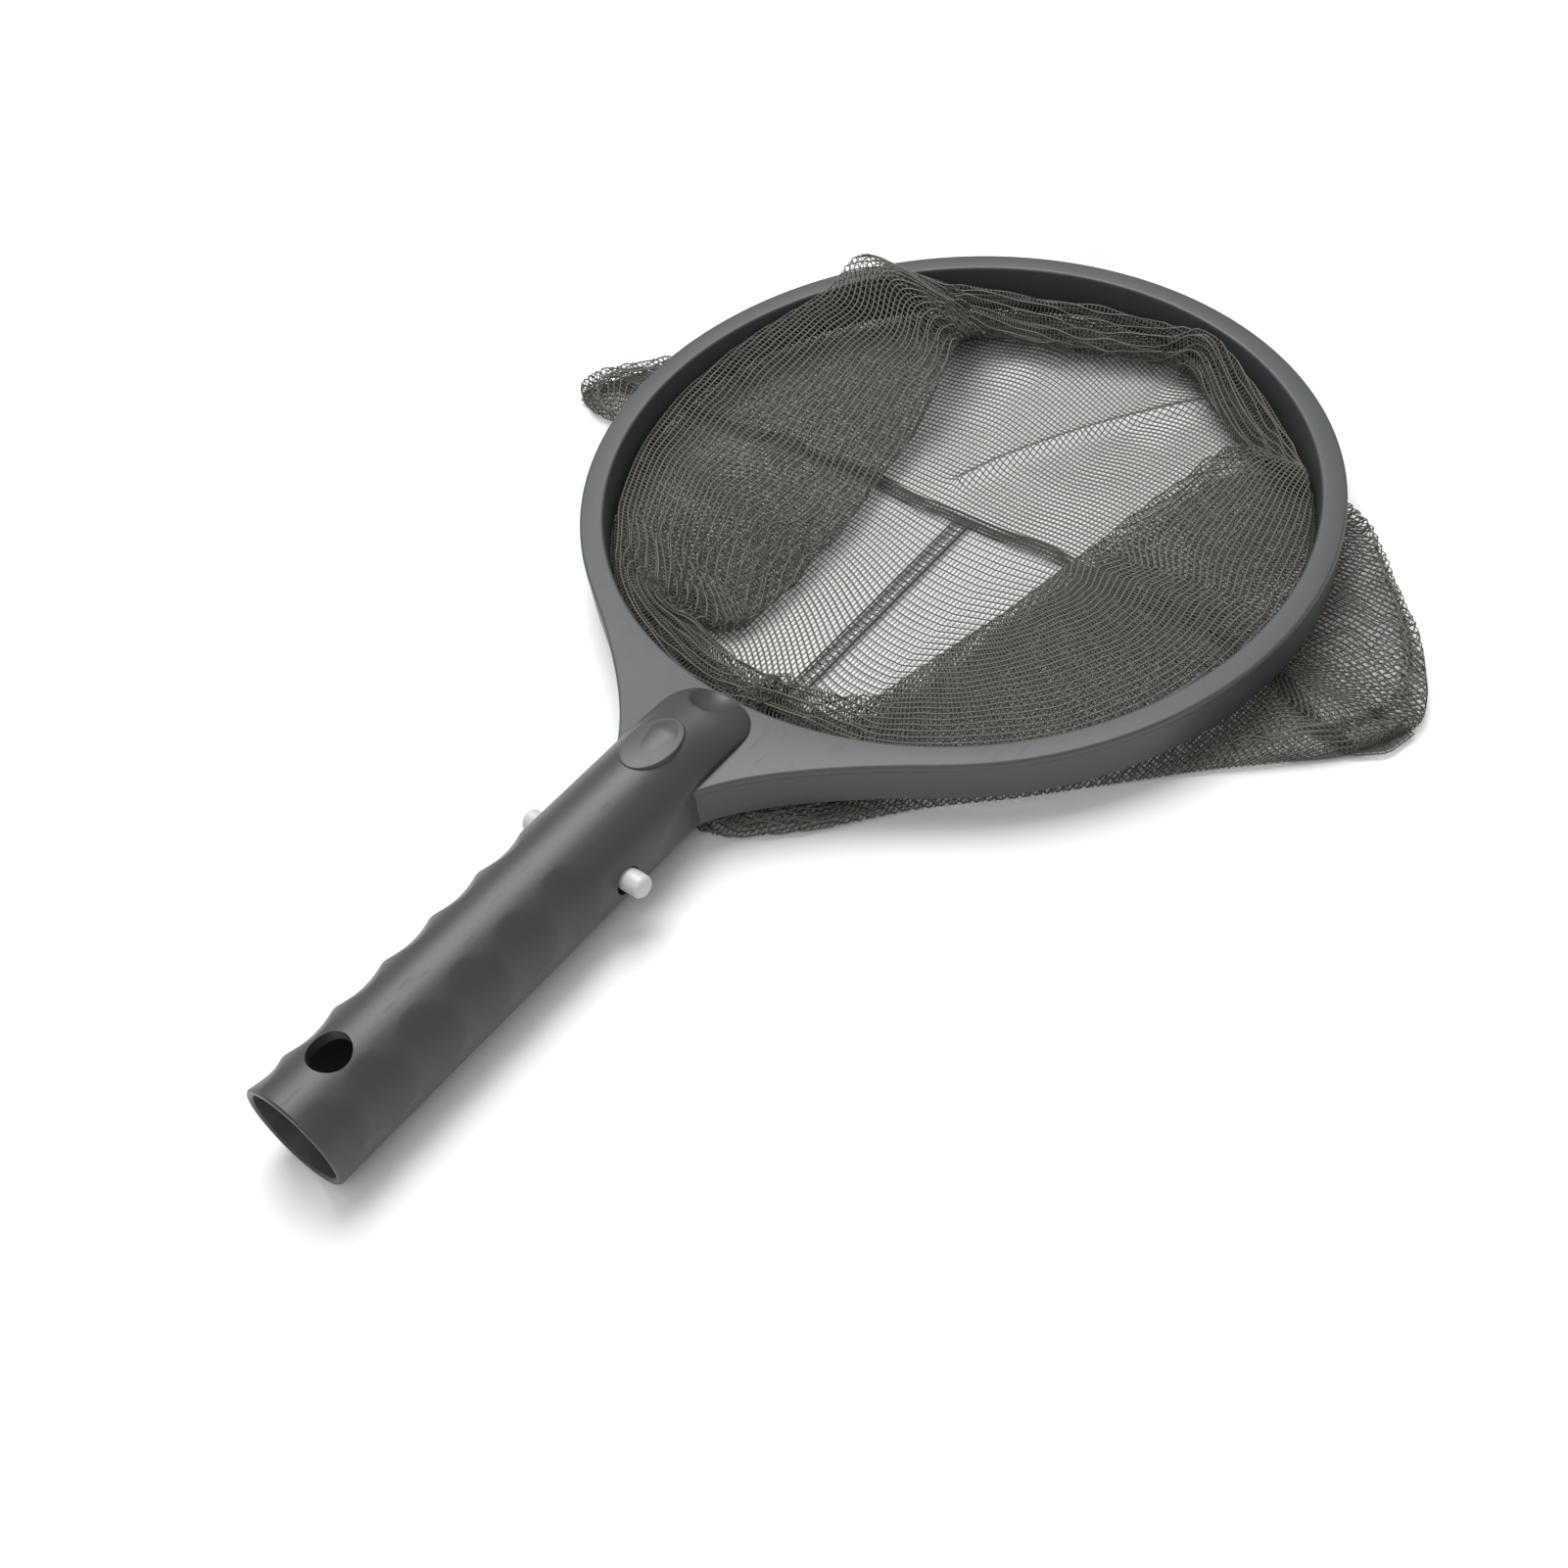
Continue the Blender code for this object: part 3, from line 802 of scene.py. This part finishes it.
LIE = (
    Fold(-90, 94.3, 10.0, (0, -76, 7.0), (1, -120, 1.8)),
    Fold(-84, 94.3, 10.0, (6, -75, 7.5), (9, -124, 1.8)),
    Fold(-78, 94.3, 10.0, (12, -73, 7.5), (18, -121, 2.2)),
    Fold(-70, 94.3, 9.0, (22, -66, 5.5), (33, -108, 2.6)),
    Fold(-58, 94.3, 9.0, (26, -48, 5.0), (50, -88, 2.4)),
    Fold(-45, 94.3, 9.0, (29, -33, 5.0), (70, -70, 2.4)),
    Fold(-20, 94.3, 9.0, (33, -10, 5.0), (101, -39, 3.0)),
    Fold(0, 94.3, 9.5, (36, 3, 5.0), (128, -15, 4.5)),
    Fold(12, 94.3, 10.0, (39, 18, 5.5), (138, 3, 4.5)),
    Fold(22, 94.3, 11.0, (42, 38, 6.0), (127, 24, 3.5)),
    Fold(32, 94.3, 12.0, (46, 60, 6.0), (106, 46, 3.0)),
    Fold(37, 94.3, 15.5, (54, 66, 10.0), (90, 64, 3.0)),
    Fold(41, 94.0, 11.0, (66, 62, 5.0), (70, 67, 2.2)),
    Fold(54, 93.5, 13.0, (47, 68, 7.0), (55, 76, 2.2)),
    Fold(65, 93.5, 16.0, (36, 75, 8.0), (40, 86, 2.2)),
    Fold(75, 94.0, 20.5, (24, 84, 11.0), (25, 91, 2.2)),
    Fold(81, 93.5, 15.5, (14, 88, 8.0), (15, 93, 2.2)),
    Fold(90, 93.0, 14.0, (0, 83, 8.0), (0, 92, 2.2)),
    Fold(100, 91.5, 14.0, (-15, 76, 8.0), (-16, 90, 2.2)),
    Fold(112, 91.0, 14.0, (-31, 73, 8.5), (-34, 83, 2.2)),
    Fold(122, 91.5, 15.5, (-38, 69, 9.0), (-48, 76, 2.2)),
    Fold(130, 94.0, 18.0, (-40, 65, 11.0), (-58, 70, 2.4)),
    Fold(137, 98.5, 23.5, (-38, 58, 17.5), (-66, 65, 2.5)),
    Fold(142.5, 103.2, 28.6, (-36, 52, 17.5), (-75, 56, 2.5)),
    Fold(148, 96.4, 20.8, (-33, 41, 14.0), (-82, 47, 2.5)),
    Fold(158, 94.5, 18.0, (-30, 26, 9.5), (-102, 33, 3.0)),
    Fold(168, 94.3, 16.2, (-28, 11, 7.0), (-116, 16, 3.5)),
    Fold(178, 94.3, 14.5, (-26, -5, 6.0), (-129, 0, 4.5)),
    Fold(184, 94.3, 14.0, (-24, -15, 6.0), (-136, -10, 4.5)),
    Fold(189, 94.3, 13.4, (-23.5, -23, 5.7), (-124, -18, 4.0)),
    Fold(194, 94.3, 13.0, (-23, -31, 5.5), (-113, -15, 3.5)),
    Fold(205, 94.3, 12.0, (-22, -48, 5.5), (-90, -38, 2.4)),
    Fold(218, 94.3, 12.0, (-24, -66, 5.5), (-74, -62, 2.4)),
    Fold(228, 94.3, 12.5, (-38, -73, 7.0), (-64, -74, 2.4)),
    Fold(242, 94.3, 11.0, (-35, -72, 7.5), (-45, -90, 2.4)),
    Fold(256, 94.3, 10.5, (-18, -76, 7.5), (-23, -97, 2.4)),
)
SEAM_LINE = ((-152, -128, -13), (-144, -131, -8), (-134, -124, -2), (-110, -104, 1),
             (-35, -31, 5), (0, 0, 4), (34, 31, 5), (80, 72, 4), (112, 102, -2),
             (128, 117, -11), (138, 127, -13), (145, 133, -8), (152, 135, 0))


@dataclass
class NetSack:
    """The knitted sack: a tube of cloth with one side seam, closed by a straight seam.

    Sizes are in metres as far as column_thread_r, and in millimetres after it.
    """

    thread: bpy.types.Material
    fine: bpy.types.Material
    seam_thread: bpy.types.Material
    circumference: float = 0.610
    depth: float = 0.180
    columns: int = 452
    rows: int = 92
    ring_thread_r: float = 0.00026
    column_thread_r: float = 0.00018
    soft_columns: int = 5
    hem_hook: tuple = ((98.2, 9.5), (98.0, 7.2), (97.0, 6.2), (95.4, 7.2))
    under_hoop_r: float = 99.0
    far_side: tuple = ((30, 42, 160, 172), (0, 1, 1, 0))
    far_reach: float = 4.6
    far_lift: float = 0.4
    fold_gap: float = 2.6
    crown_share: float = 0.04
    crown_top: float = 2.5
    wall_limit: float = 94.6
    under_z: tuple = (2.2, 3.2)
    outer_z: float = 0.9
    floor_z: float = 0.7
    roll_place: tuple = (93.0, 6.0)
    roll_z: float = 4.2
    ear_start: float = 106.0
    ear_width: float = 10.0
    ear_tucks: tuple = ((0.22, 1.6), (0.16, 0.6))
    swell: tuple = ((19, 1.5), (7, 0.4))
    ear_swell: tuple = (1.2, 1.8, 8)
    floor_swell: tuple = (0.5, 16)
    pleat_pitch: tuple = (4.4, 5.1)
    pleat_size: tuple = (1.1, 0.7)
    crease: tuple = ((-11, 17), (2, 53.5), (31, 84))
    crease_width: float = 2.6
    crease_lift: float = 1.7
    crease_pull: float = 0.6
    floor_top: float = 1.8
    lowest: float = 0.35
    panels: tuple = ("near_right", "far_right", "far_left", "near_left")

    def folds_at(self, angles: np.ndarray) -> tuple[np.ndarray, ...]:
        """Read the table of folds, smoothed and carried out past the hoop's far side.

        Args:
            angles: Each column's angle, in degrees.

        Returns:
            The wall's radii and heights, the inner folds and the outer folds.
        """
        folds = LIE + (LIE[0],)
        stations = [fold.angle for fold in LIE] + [270]
        table = np.array([(f.wall_r, f.wall_z, *f.inward, *f.outward) for f in folds], float)
        read = np.array([np.interp(angles, stations, column) for column in table.T]).T
        read = self.soften(read, self.soft_columns)
        outward = read[:, 5:8]
        far = np.interp(angles, *self.far_side)[:, None]
        out_r = np.linalg.norm(outward[:, :2], axis=1)[:, None]
        outward[:, :2] *= np.maximum(1.0, (self.under_hoop_r + self.far_reach * far) / out_r)
        outward[:, 2:3] += self.far_lift * far
        return read[:, 0:1], read[:, 1:2], read[:, 2:5], outward

    def seam_places(self) -> np.ndarray:
        """Return where each column meets the bottom seam, in millimetres."""
        share = np.linspace(0, 1, self.columns + 1) * 4
        flat = np.where(share < 2, share, 4 - share)
        side = np.where(share < 2, 1.0, -1.0)
        along = np.where(flat <= 1, flat, 2 - flat) * side * self.circumference / 4 / MM
        stops, *line = np.array(SEAM_LINE, float).T
        return np.stack([*(np.interp(along, stops, row) for row in line),
                         np.ones_like(along)], 1)

    def guides(self) -> np.ndarray:
        """Return each column's way as (columns + 1, points, 3), in millimetres."""
        angles = np.linspace(-90, 270, self.columns + 1)
        wall_r, wall_z, inward, outward = self.folds_at(angles)
        seam = self.seam_places()
        theta = np.radians(angles)
        way = np.stack([np.cos(theta), np.sin(theta), np.zeros_like(theta)], 1)
        up = np.array([0, 0, 1.0])
        wall = way * wall_r + up * wall_z
        inward_low = inward + way - up * self.fold_gap
        inward_low[:, 2] = np.minimum(inward_low[:, 2],
                                      np.maximum(self.fold_gap, inward[:, 2] - self.fold_gap))
        reach = np.linalg.norm((inward - wall)[:, :2], axis=1)[:, None]
        crown = up * np.clip(reach * self.crown_share, 0, self.crown_top)
        under = part_way(inward_low, outward, 0.5)
        under[:, 2] = np.clip(under[:, 2], *self.under_z)
        out_low = outward.copy()
        out_low[:, 2] = self.outer_z
        floor = part_way(out_low, seam, 0.5)
        floor[:, 2] = self.floor_z
        bunch = self.bunching(angles)[:, None]
        near_wall = way * self.roll_place[0] + up * self.roll_place[1]
        near_fold = inward_low * 0.97 + way * 1.5
        near_fold[:, 2] = self.roll_z
        first_turn = part_way(part_way(inward_low, outward, 0.15), near_wall, bunch)
        second_turn = part_way(part_way(inward_low, outward, 0.25), near_fold, bunch)
        ear = np.linalg.norm(outward[:, :2], axis=1)[:, None] - self.ear_start
        ear = np.clip(ear / self.ear_width, 0, 1)
        tuck_out = part_way(outward, under, 0.04)
        tuck_in, last_in = (part_way(tuck_out, part_way(outward, under, share) + up * lift, ear)
                            for share, lift in self.ear_tucks)
        stops = [way * radius + up * height for radius, height in self.hem_hook]
        stops += [way * np.minimum(wall_r, self.wall_limit) + up * (wall_z - 1.5),
                  wall, part_way(wall, inward, 0.2) + crown, part_way(wall, inward, 0.55) + crown,
                  part_way(wall, inward, 0.97), inward, inward_low,
                  part_way(inward_low, outward, 0.1), first_turn, second_turn, under,
                  tuck_out, tuck_in, part_way(outward, under, 0.05), last_in, tuck_out,
                  outward, out_low, part_way(out_low, floor, 0.05), floor, seam]
        return np.stack(stops, 1)

    @staticmethod
    def bunching(angles: np.ndarray) -> np.ndarray:
        """Return how much of each column is rolled up at the wall, from 0 to 1."""
        stations = [-90, -78, -66, 40, 52, 128, 138, 212, 224, 270]
        shares = [1, 1, 0, 0, 1, 1, 0, 0, 1, 1]
        return np.interp(angles, stations, shares)

    @staticmethod
    def soften(values: np.ndarray, width: int) -> np.ndarray:
        """Smooth values around the closed hoop.

        Args:
            values: One row for each column, the last the same as the first.
            width: How many columns each side take part.

        Returns:
            The smoothed values.
        """
        core = values[:-1]
        result = np.zeros_like(core)
        total = 0.0
        for shift in range(-width, width + 1):
            weight = 1 - abs(shift) / (width + 1)
            result += weight * np.roll(core, shift, axis=0)
            total += weight
        result /= total
        return np.vstack([result, result[:1]])

    def lay(self) -> np.ndarray:
        """Return the cloth as it lies, (columns + 1, 2 rows + 1, 3) points in metres."""
        line = self.guides()
        for _ in range(4):
            low = line[:, :-1] * 0.75 + line[:, 1:] * 0.25
            high = line[:, :-1] * 0.25 + line[:, 1:] * 0.75
            inner = np.stack([low, high], 2).reshape(len(line), -1, 3)
            line = np.concatenate([line[:, :1], inner, line[:, -1:]], 1)
        steps = np.linalg.norm(np.diff(line, axis=1), axis=2)
        length = np.concatenate([np.zeros((len(line), 1)), np.cumsum(steps, 1)], 1)
        share = np.linspace(0, 1, 2 * self.rows + 1)
        grid = np.zeros((len(line), len(share), 3))
        for index in range(len(line)):
            place = share * length[index, -1]
            for axis in range(3):
                grid[index, :, axis] = np.interp(place, length[index], line[index, :, axis])
        return grid * MM

    def crumple(self, grid: np.ndarray) -> np.ndarray:
        """Add the small folds that the cloth takes where it lies.

        Args:
            grid: The smooth cloth, in metres.

        Returns:
            The cloth with pleats along the rim, soft waves, lifted ears and the long crease.
        """
        cloth = grid / MM
        away = np.hypot(cloth[..., 0], cloth[..., 1])
        height = cloth[..., 2].copy()
        self.pleat(cloth, away)
        for i, column in enumerate(cloth):
            for j, point in enumerate(column):
                self.wave(point, away[i, j], height[i, j])
        self.press_crease(cloth, height)
        cloth[..., 2] = np.maximum(cloth[..., 2], self.lowest)
        return cloth * MM

    def pleat(self, cloth: np.ndarray, away: np.ndarray) -> None:
        """Gather the cloth that is rolled up at the wall into pleats.

        Args:
            cloth: The cloth in millimetres, which is moved.
            away: How far its points lie from the hoop's middle.
        """
        steps = np.linalg.norm(np.diff(cloth, axis=1), axis=2)
        along = np.concatenate([np.zeros((len(cloth), 1)), np.cumsum(steps, 1)], 1)
        angle = np.arctan2(cloth[..., 1], cloth[..., 0])
        turn = np.degrees(angle)
        turn = np.where(turn < -90, turn + 360, turn)
        inside = np.clip((94.5 - away) / 3, 0, 1) * np.clip((cloth[..., 2] - 1.6) / 2, 0, 1)
        share = self.bunching(turn) * inside
        drift = 1.3 * np.sin(angle * 9) + 0.8 * np.sin(angle * 23)
        rise, shift = self.pleat_size
        tall, wide = self.pleat_pitch
        cloth[..., 2] += share * rise * np.sin(along * math.tau / tall + drift)
        cloth[..., 0] += share * shift * np.cos(along * math.tau / wide + drift)

    def wave(self, point: np.ndarray, away: float, height: float) -> None:
        """Lift one point of the cloth into soft waves, more in the ears.

        Args:
            point: The point in millimetres, which is moved.
            away: How far it lies from the hoop's middle.
            height: How high it lay before the pleats.
        """
        lift = ramp(height, self.under_z[0], 3)
        place = Vector((point[0], point[1], height * 2))
        soft = sum(noise.noise(place / pitch) * size for pitch, size in self.swell)
        point[2] += soft * lift * ramp(93 - away, 0, 12)
        rise, size, pitch = self.ear_swell
        ear = ramp(away, 104, 8) * (1 if lift else 0.1)
        point[2] += ear * (rise + size * noise.noise(place / pitch))
        size, pitch = self.floor_swell
        if height < self.floor_top and away < 90:
            point[2] += size * max(0.0, noise.noise(place / pitch + Vector((7, 3, 1))))

    def press_crease(self, cloth: np.ndarray, height: np.ndarray) -> None:
        """Raise the long crease in the sack's floor and draw the cloth in to it.

        Args:
            cloth: The cloth in millimetres, which is moved.
            height: How high its points lay before the pleats.
        """
        start, bend, end = (np.array(point, float) for point in self.crease)
        nearest = np.full(height.shape, 1e3)
        spot = np.zeros((*height.shape, 2))
        for t in np.linspace(0, 1, 60):
            point = start * (1 - t) ** 2 + bend * 2 * t * (1 - t) + end * t * t
            gap = np.linalg.norm(cloth[..., :2] - point, axis=2)
            spot = np.where((gap < nearest)[..., None], point, spot)
            nearest = np.minimum(gap, nearest)
        hit = (height < self.floor_top) * np.exp(-(nearest / self.crease_width) ** 2)
        cloth[..., 2] += self.crease_lift * hit
        cloth[..., :2] += (spot - cloth[..., :2]) * self.crease_pull * hit[..., None]

    def tube(self, paths: np.ndarray, ups: np.ndarray, radius: float
             ) -> tuple[np.ndarray, np.ndarray, np.ndarray]:
        """Make three-sided threads along many paths.

        Args:
            paths: (threads, points, 3) positions.
            ups: The cloth's normals at them.
            radius: The thread's radius.

        Returns:
            Vertices, faces as vertex numbers, and each vertex's (along, around).
        """
        run = unit(np.gradient(paths, axis=1))
        side = unit(np.cross(run, ups))
        over = np.cross(side, run)
        corners = [paths + radius * (math.cos(a) * over + math.sin(a) * side)
                   for a in (0.0, math.tau / 3, 2 * math.tau / 3)]
        vertices = np.stack(corners, 2)
        threads, points = paths.shape[:2]
        number = np.arange(threads * points * 3).reshape(threads, points, 3)
        turned_number = np.roll(number, -1, axis=2)
        faces = np.stack([number[:, :-1], turned_number[:, :-1], turned_number[:, 1:],
                          number[:, 1:]], -1).reshape(-1, 4)
        length = np.zeros((threads, points))
        length[:, 1:] = np.cumsum(np.linalg.norm(np.diff(paths, axis=1), axis=2), 1)
        along = np.repeat(length[:, :, None] * 1000, 3, 2)
        around = np.broadcast_to(np.array([0.0, 1 / 3, 2 / 3]), along.shape)
        place = np.stack([along, around], -1)
        return vertices.reshape(-1, 3), faces, place.reshape(-1, 2)

    def knit(self, name: str, parts: list[tuple], materials: list[bpy.types.Material]
             ) -> bpy.types.Object:
        """Join sets of threads into one piece of cloth.

        Args:
            name: The piece's name.
            parts: Results of tube().
            materials: The finish of each part's threads.

        Returns:
            The piece.
        """
        vertices = np.concatenate([part[0] for part in parts])
        offsets = np.cumsum([0] + [len(part[0]) for part in parts[:-1]])
        faces = np.concatenate([part[1] + offset for part, offset in zip(parts, offsets)])
        places = np.concatenate([part[2] for part in parts])
        data = bpy.data.meshes.new(name)
        data.from_pydata(vertices, [], faces)
        layer = data.uv_layers.new(name="UVMap")
        layer.data.foreach_set("uv", places[faces.reshape(-1)].reshape(-1).astype(np.float32))
        for material in materials:
            data.materials.append(material)
        kind = np.repeat(np.arange(len(parts)), [len(part[1]) for part in parts])
        data.polygons.foreach_set("material_index", kind.astype(np.int32))
        data.shade_smooth()
        data.update()
        made = link_object(name, data)
        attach(made, Body.SKIMMER.value)
        LOG.info("%s: %d faces", name, len(data.polygons))
        return made

    def build(self) -> None:
        grid = self.crumple(self.lay())
        self.cross_seam(grid)
        self.side_seam(grid)
        normal = unit(np.cross(np.gradient(grid, axis=1), np.gradient(grid, axis=0)))
        quarter = self.columns // 4
        for index, title in enumerate(self.panels):
            first = index * quarter
            span = slice(first, first + quarter + 1)
            columns = self.tube(grid[span][:-1], normal[span][:-1], self.column_thread_r)
            rings = self.tube(*(cloth[span, ::2].transpose(1, 0, 2) for cloth in (grid, normal)),
                              self.ring_thread_r)
            # The rings take the lighter thread colour, a painted highlight; the columns take the
            # darker one.
            cloth = self.knit(f"net_sack_{title}", [columns, rings], [self.fine, self.thread])
            if index == 0:
                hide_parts("net_bag")
            self.circumference / 4

    def band(self, name: str, spine: np.ndarray, offsets: list[float], rungs: int,
             radius: float) -> bpy.types.Object:
        """Sew a seam: rails along a line, laced by a zigzag of rungs.

        Args:
            name: The piece's name.
            spine: The points along the seam's middle.
            offsets: How far each rail lies to the side.
            rungs: The number of rungs.
            radius: The thread's radius.

        Returns:
            The seam's piece.
        """
        rise = 0.25 * MM
        run = unit(np.gradient(spine, axis=0))
        up = np.broadcast_to(np.array([0.0, 0.0, 1.0]), spine.shape)
        side = unit(np.cross(run, up))
        rails = np.stack([spine + side * offset + up * rise * (index % 2)
                          for index, offset in enumerate(offsets)])
        parts = [self.tube(rails, np.broadcast_to(up, rails.shape), radius)]
        share = np.linspace(0, len(spine) - 1, rungs)
        number = np.arange(len(spine))
        middle = np.stack([np.interp(share, number, spine[:, k]) for k in range(3)], 1)
        across = np.stack([np.interp(share, number, side[:, k]) for k in range(3)], 1)
        reach = np.linspace(offsets[0], offsets[-1], 5)
        lace = middle[:, None] + across[:, None] * reach[None, :, None]
        lace[..., 2] += rise * np.array([0, 1, 0, 1, 0])
        lace[1::2] = lace[1::2, ::-1]
        parts.append(self.tube(lace, np.broadcast_to(up[0], lace.shape), radius * 0.9))
        made = self.knit(name, parts, [self.seam_thread, self.seam_thread])
        return made

    def cross_seam(self, grid: np.ndarray) -> bpy.types.Object:
        """Sew the straight seam that closes the sack's bottom from ear to ear."""
        half = self.columns // 4
        spine = np.concatenate([grid[-half - 1:-1, -1], grid[:half + 1, -1]])
        spine = spine + np.array([0, -0.6, 0.5]) * MM
        number = np.arange(len(spine))
        spine[:, 1] += (0.7 * np.sin(number / 9.0) + 0.4 * np.sin(number / 4.1)) * MM
        offsets = [offset * MM for offset in (-2.2, -1.5, -0.8, -0.1, 0.6, 1.3, 2.0)]
        made = self.band("bottom_seam", spine, offsets, 200, 0.21 * MM)
        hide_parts("bottom_seam_tape")
        return made

    def side_seam(self, grid: np.ndarray) -> bpy.types.Object:
        """Sew the ladder-like seam that runs up the sack's near side."""
        spine = grid[0] + np.array([0, 0, 0.5]) * MM
        offsets = [offset * MM for offset in (-2.5, -2.0, -1.5, 1.5, 2.0, 2.5)]
        made = self.band("side_seam", spine, offsets, 120, 0.22 * MM)
        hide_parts("side_seam_tape")
        return made


# ---- stage ----
@dataclass
class Stage:
    """The floor, the soft lights and the camera."""

    eye: Vector = Vector((0.23518, -0.31465, 0.35692))
    forward: Vector = Vector((-0.46331, 0.45812, -0.75859))
    upward: Vector = Vector((-0.42534, 0.63602, 0.64387))
    lens: float = 43.18

    def build(self) -> None:
        """Build the floor, the camera and the lights."""
        form = bmesh.new()
        bmesh.ops.create_grid(form, x_segments=1, y_segments=1, size=6.0)
        data = mesh_of("stage_floor", form)
        data.materials.append(StageFloor().build())
        floor = link_object("stage_floor", data)
        self.camera()
        self.light("key", (-0.55, 0.35, 1.5), 1.2, 34.0)
        self.light("fill", (0.5, -1.0, 1.2), 1.2, 6.0)
        world = bpy.data.worlds.new("studio")
        world.use_nodes = True
        sky = world.node_tree.nodes["Background"].inputs
        sky["Color"].default_value = (1, 1, 1, 1)
        sky["Strength"].default_value = 0.42
        bpy.context.scene.world = world
        bpy.context.scene.view_settings.view_transform = "Standard"

    def camera(self) -> None:
        """Place the camera."""
        data = bpy.data.cameras.new("camera")
        data.lens = self.lens
        data.sensor_width = 36.0
        made = link_object("camera", data)
        right = self.forward.cross(self.upward).normalized()
        turn = Matrix((right, self.upward.normalized(), -self.forward.normalized())).transposed()
        made.matrix_world = Matrix.Translation(self.eye) @ turn.to_4x4()
        bpy.context.scene.camera = made

    def light(self, name: str, place: tuple, size: float, power: float) -> None:
        """Add one square soft light that faces the hoop.

        Args:
            name: The light's name.
            place: Where it hangs.
            size: The side of the square.
            power: Its power in watts.
        """
        data = bpy.data.lights.new(name, "AREA")
        data.shape = "SQUARE"
        data.size = size
        data.energy = power
        made = link_object(name, data)
        made.location = place
        made.rotation_euler = (-Vector(place)).to_track_quat("-Z", "Y").to_euler()


def main() -> None:
    """Build every sub-assembly in order."""
    logging.basicConfig(level=logging.INFO, format="%(name)s: %(message)s")
    Stage().build()
    Hoop(MouldedPlastic("hoop_plastic", (0.050, 0.055, 0.058, 1.0), 0.41).build()).build()
    handle = Handle(MouldedPlastic("handle_plastic", (0.041, 0.044, 0.043, 1.0), 0.38).build())
    handle.build()
    handle.build_pad()
    SnapClip(MouldedPlastic("button_plastic", (0.50, 0.485, 0.47, 1.0), 0.3, bump=0.04,
                            mottle=0.03).build(),
             RolledSteel("spring_steel").build()).build()
    seam_cloth = KnitThread("seam_thread", (0.034, 0.033, 0.028, 1.0),
                            (0.090, 0.086, 0.072, 1.0)).build()
    HemLock(seam_cloth, KnitThread("cord_thread", (0.10, 0.095, 0.08, 1.0),
                                   (0.2, 0.19, 0.16, 1.0)).build(),
            MouldedPlastic("lock_plastic", (0.090, 0.097, 0.100, 1.0), 0.5,
                           Grain.SATIN).build()).build()
    # The ring threads get a lighter copy of the column threads' colour: painted highlight lines
    # along the rings.
    NetSack(KnitThread("net_thread_painted_highlight", (0.053, 0.050, 0.038, 1.0),
                       (0.152, 0.144, 0.112, 1.0)).build(),
            KnitThread("net_fine_thread", (0.030, 0.028, 0.022, 1.0),
                       (0.085, 0.080, 0.064, 1.0)).build(), seam_cloth).build()


if __name__ == "__main__":
    main()
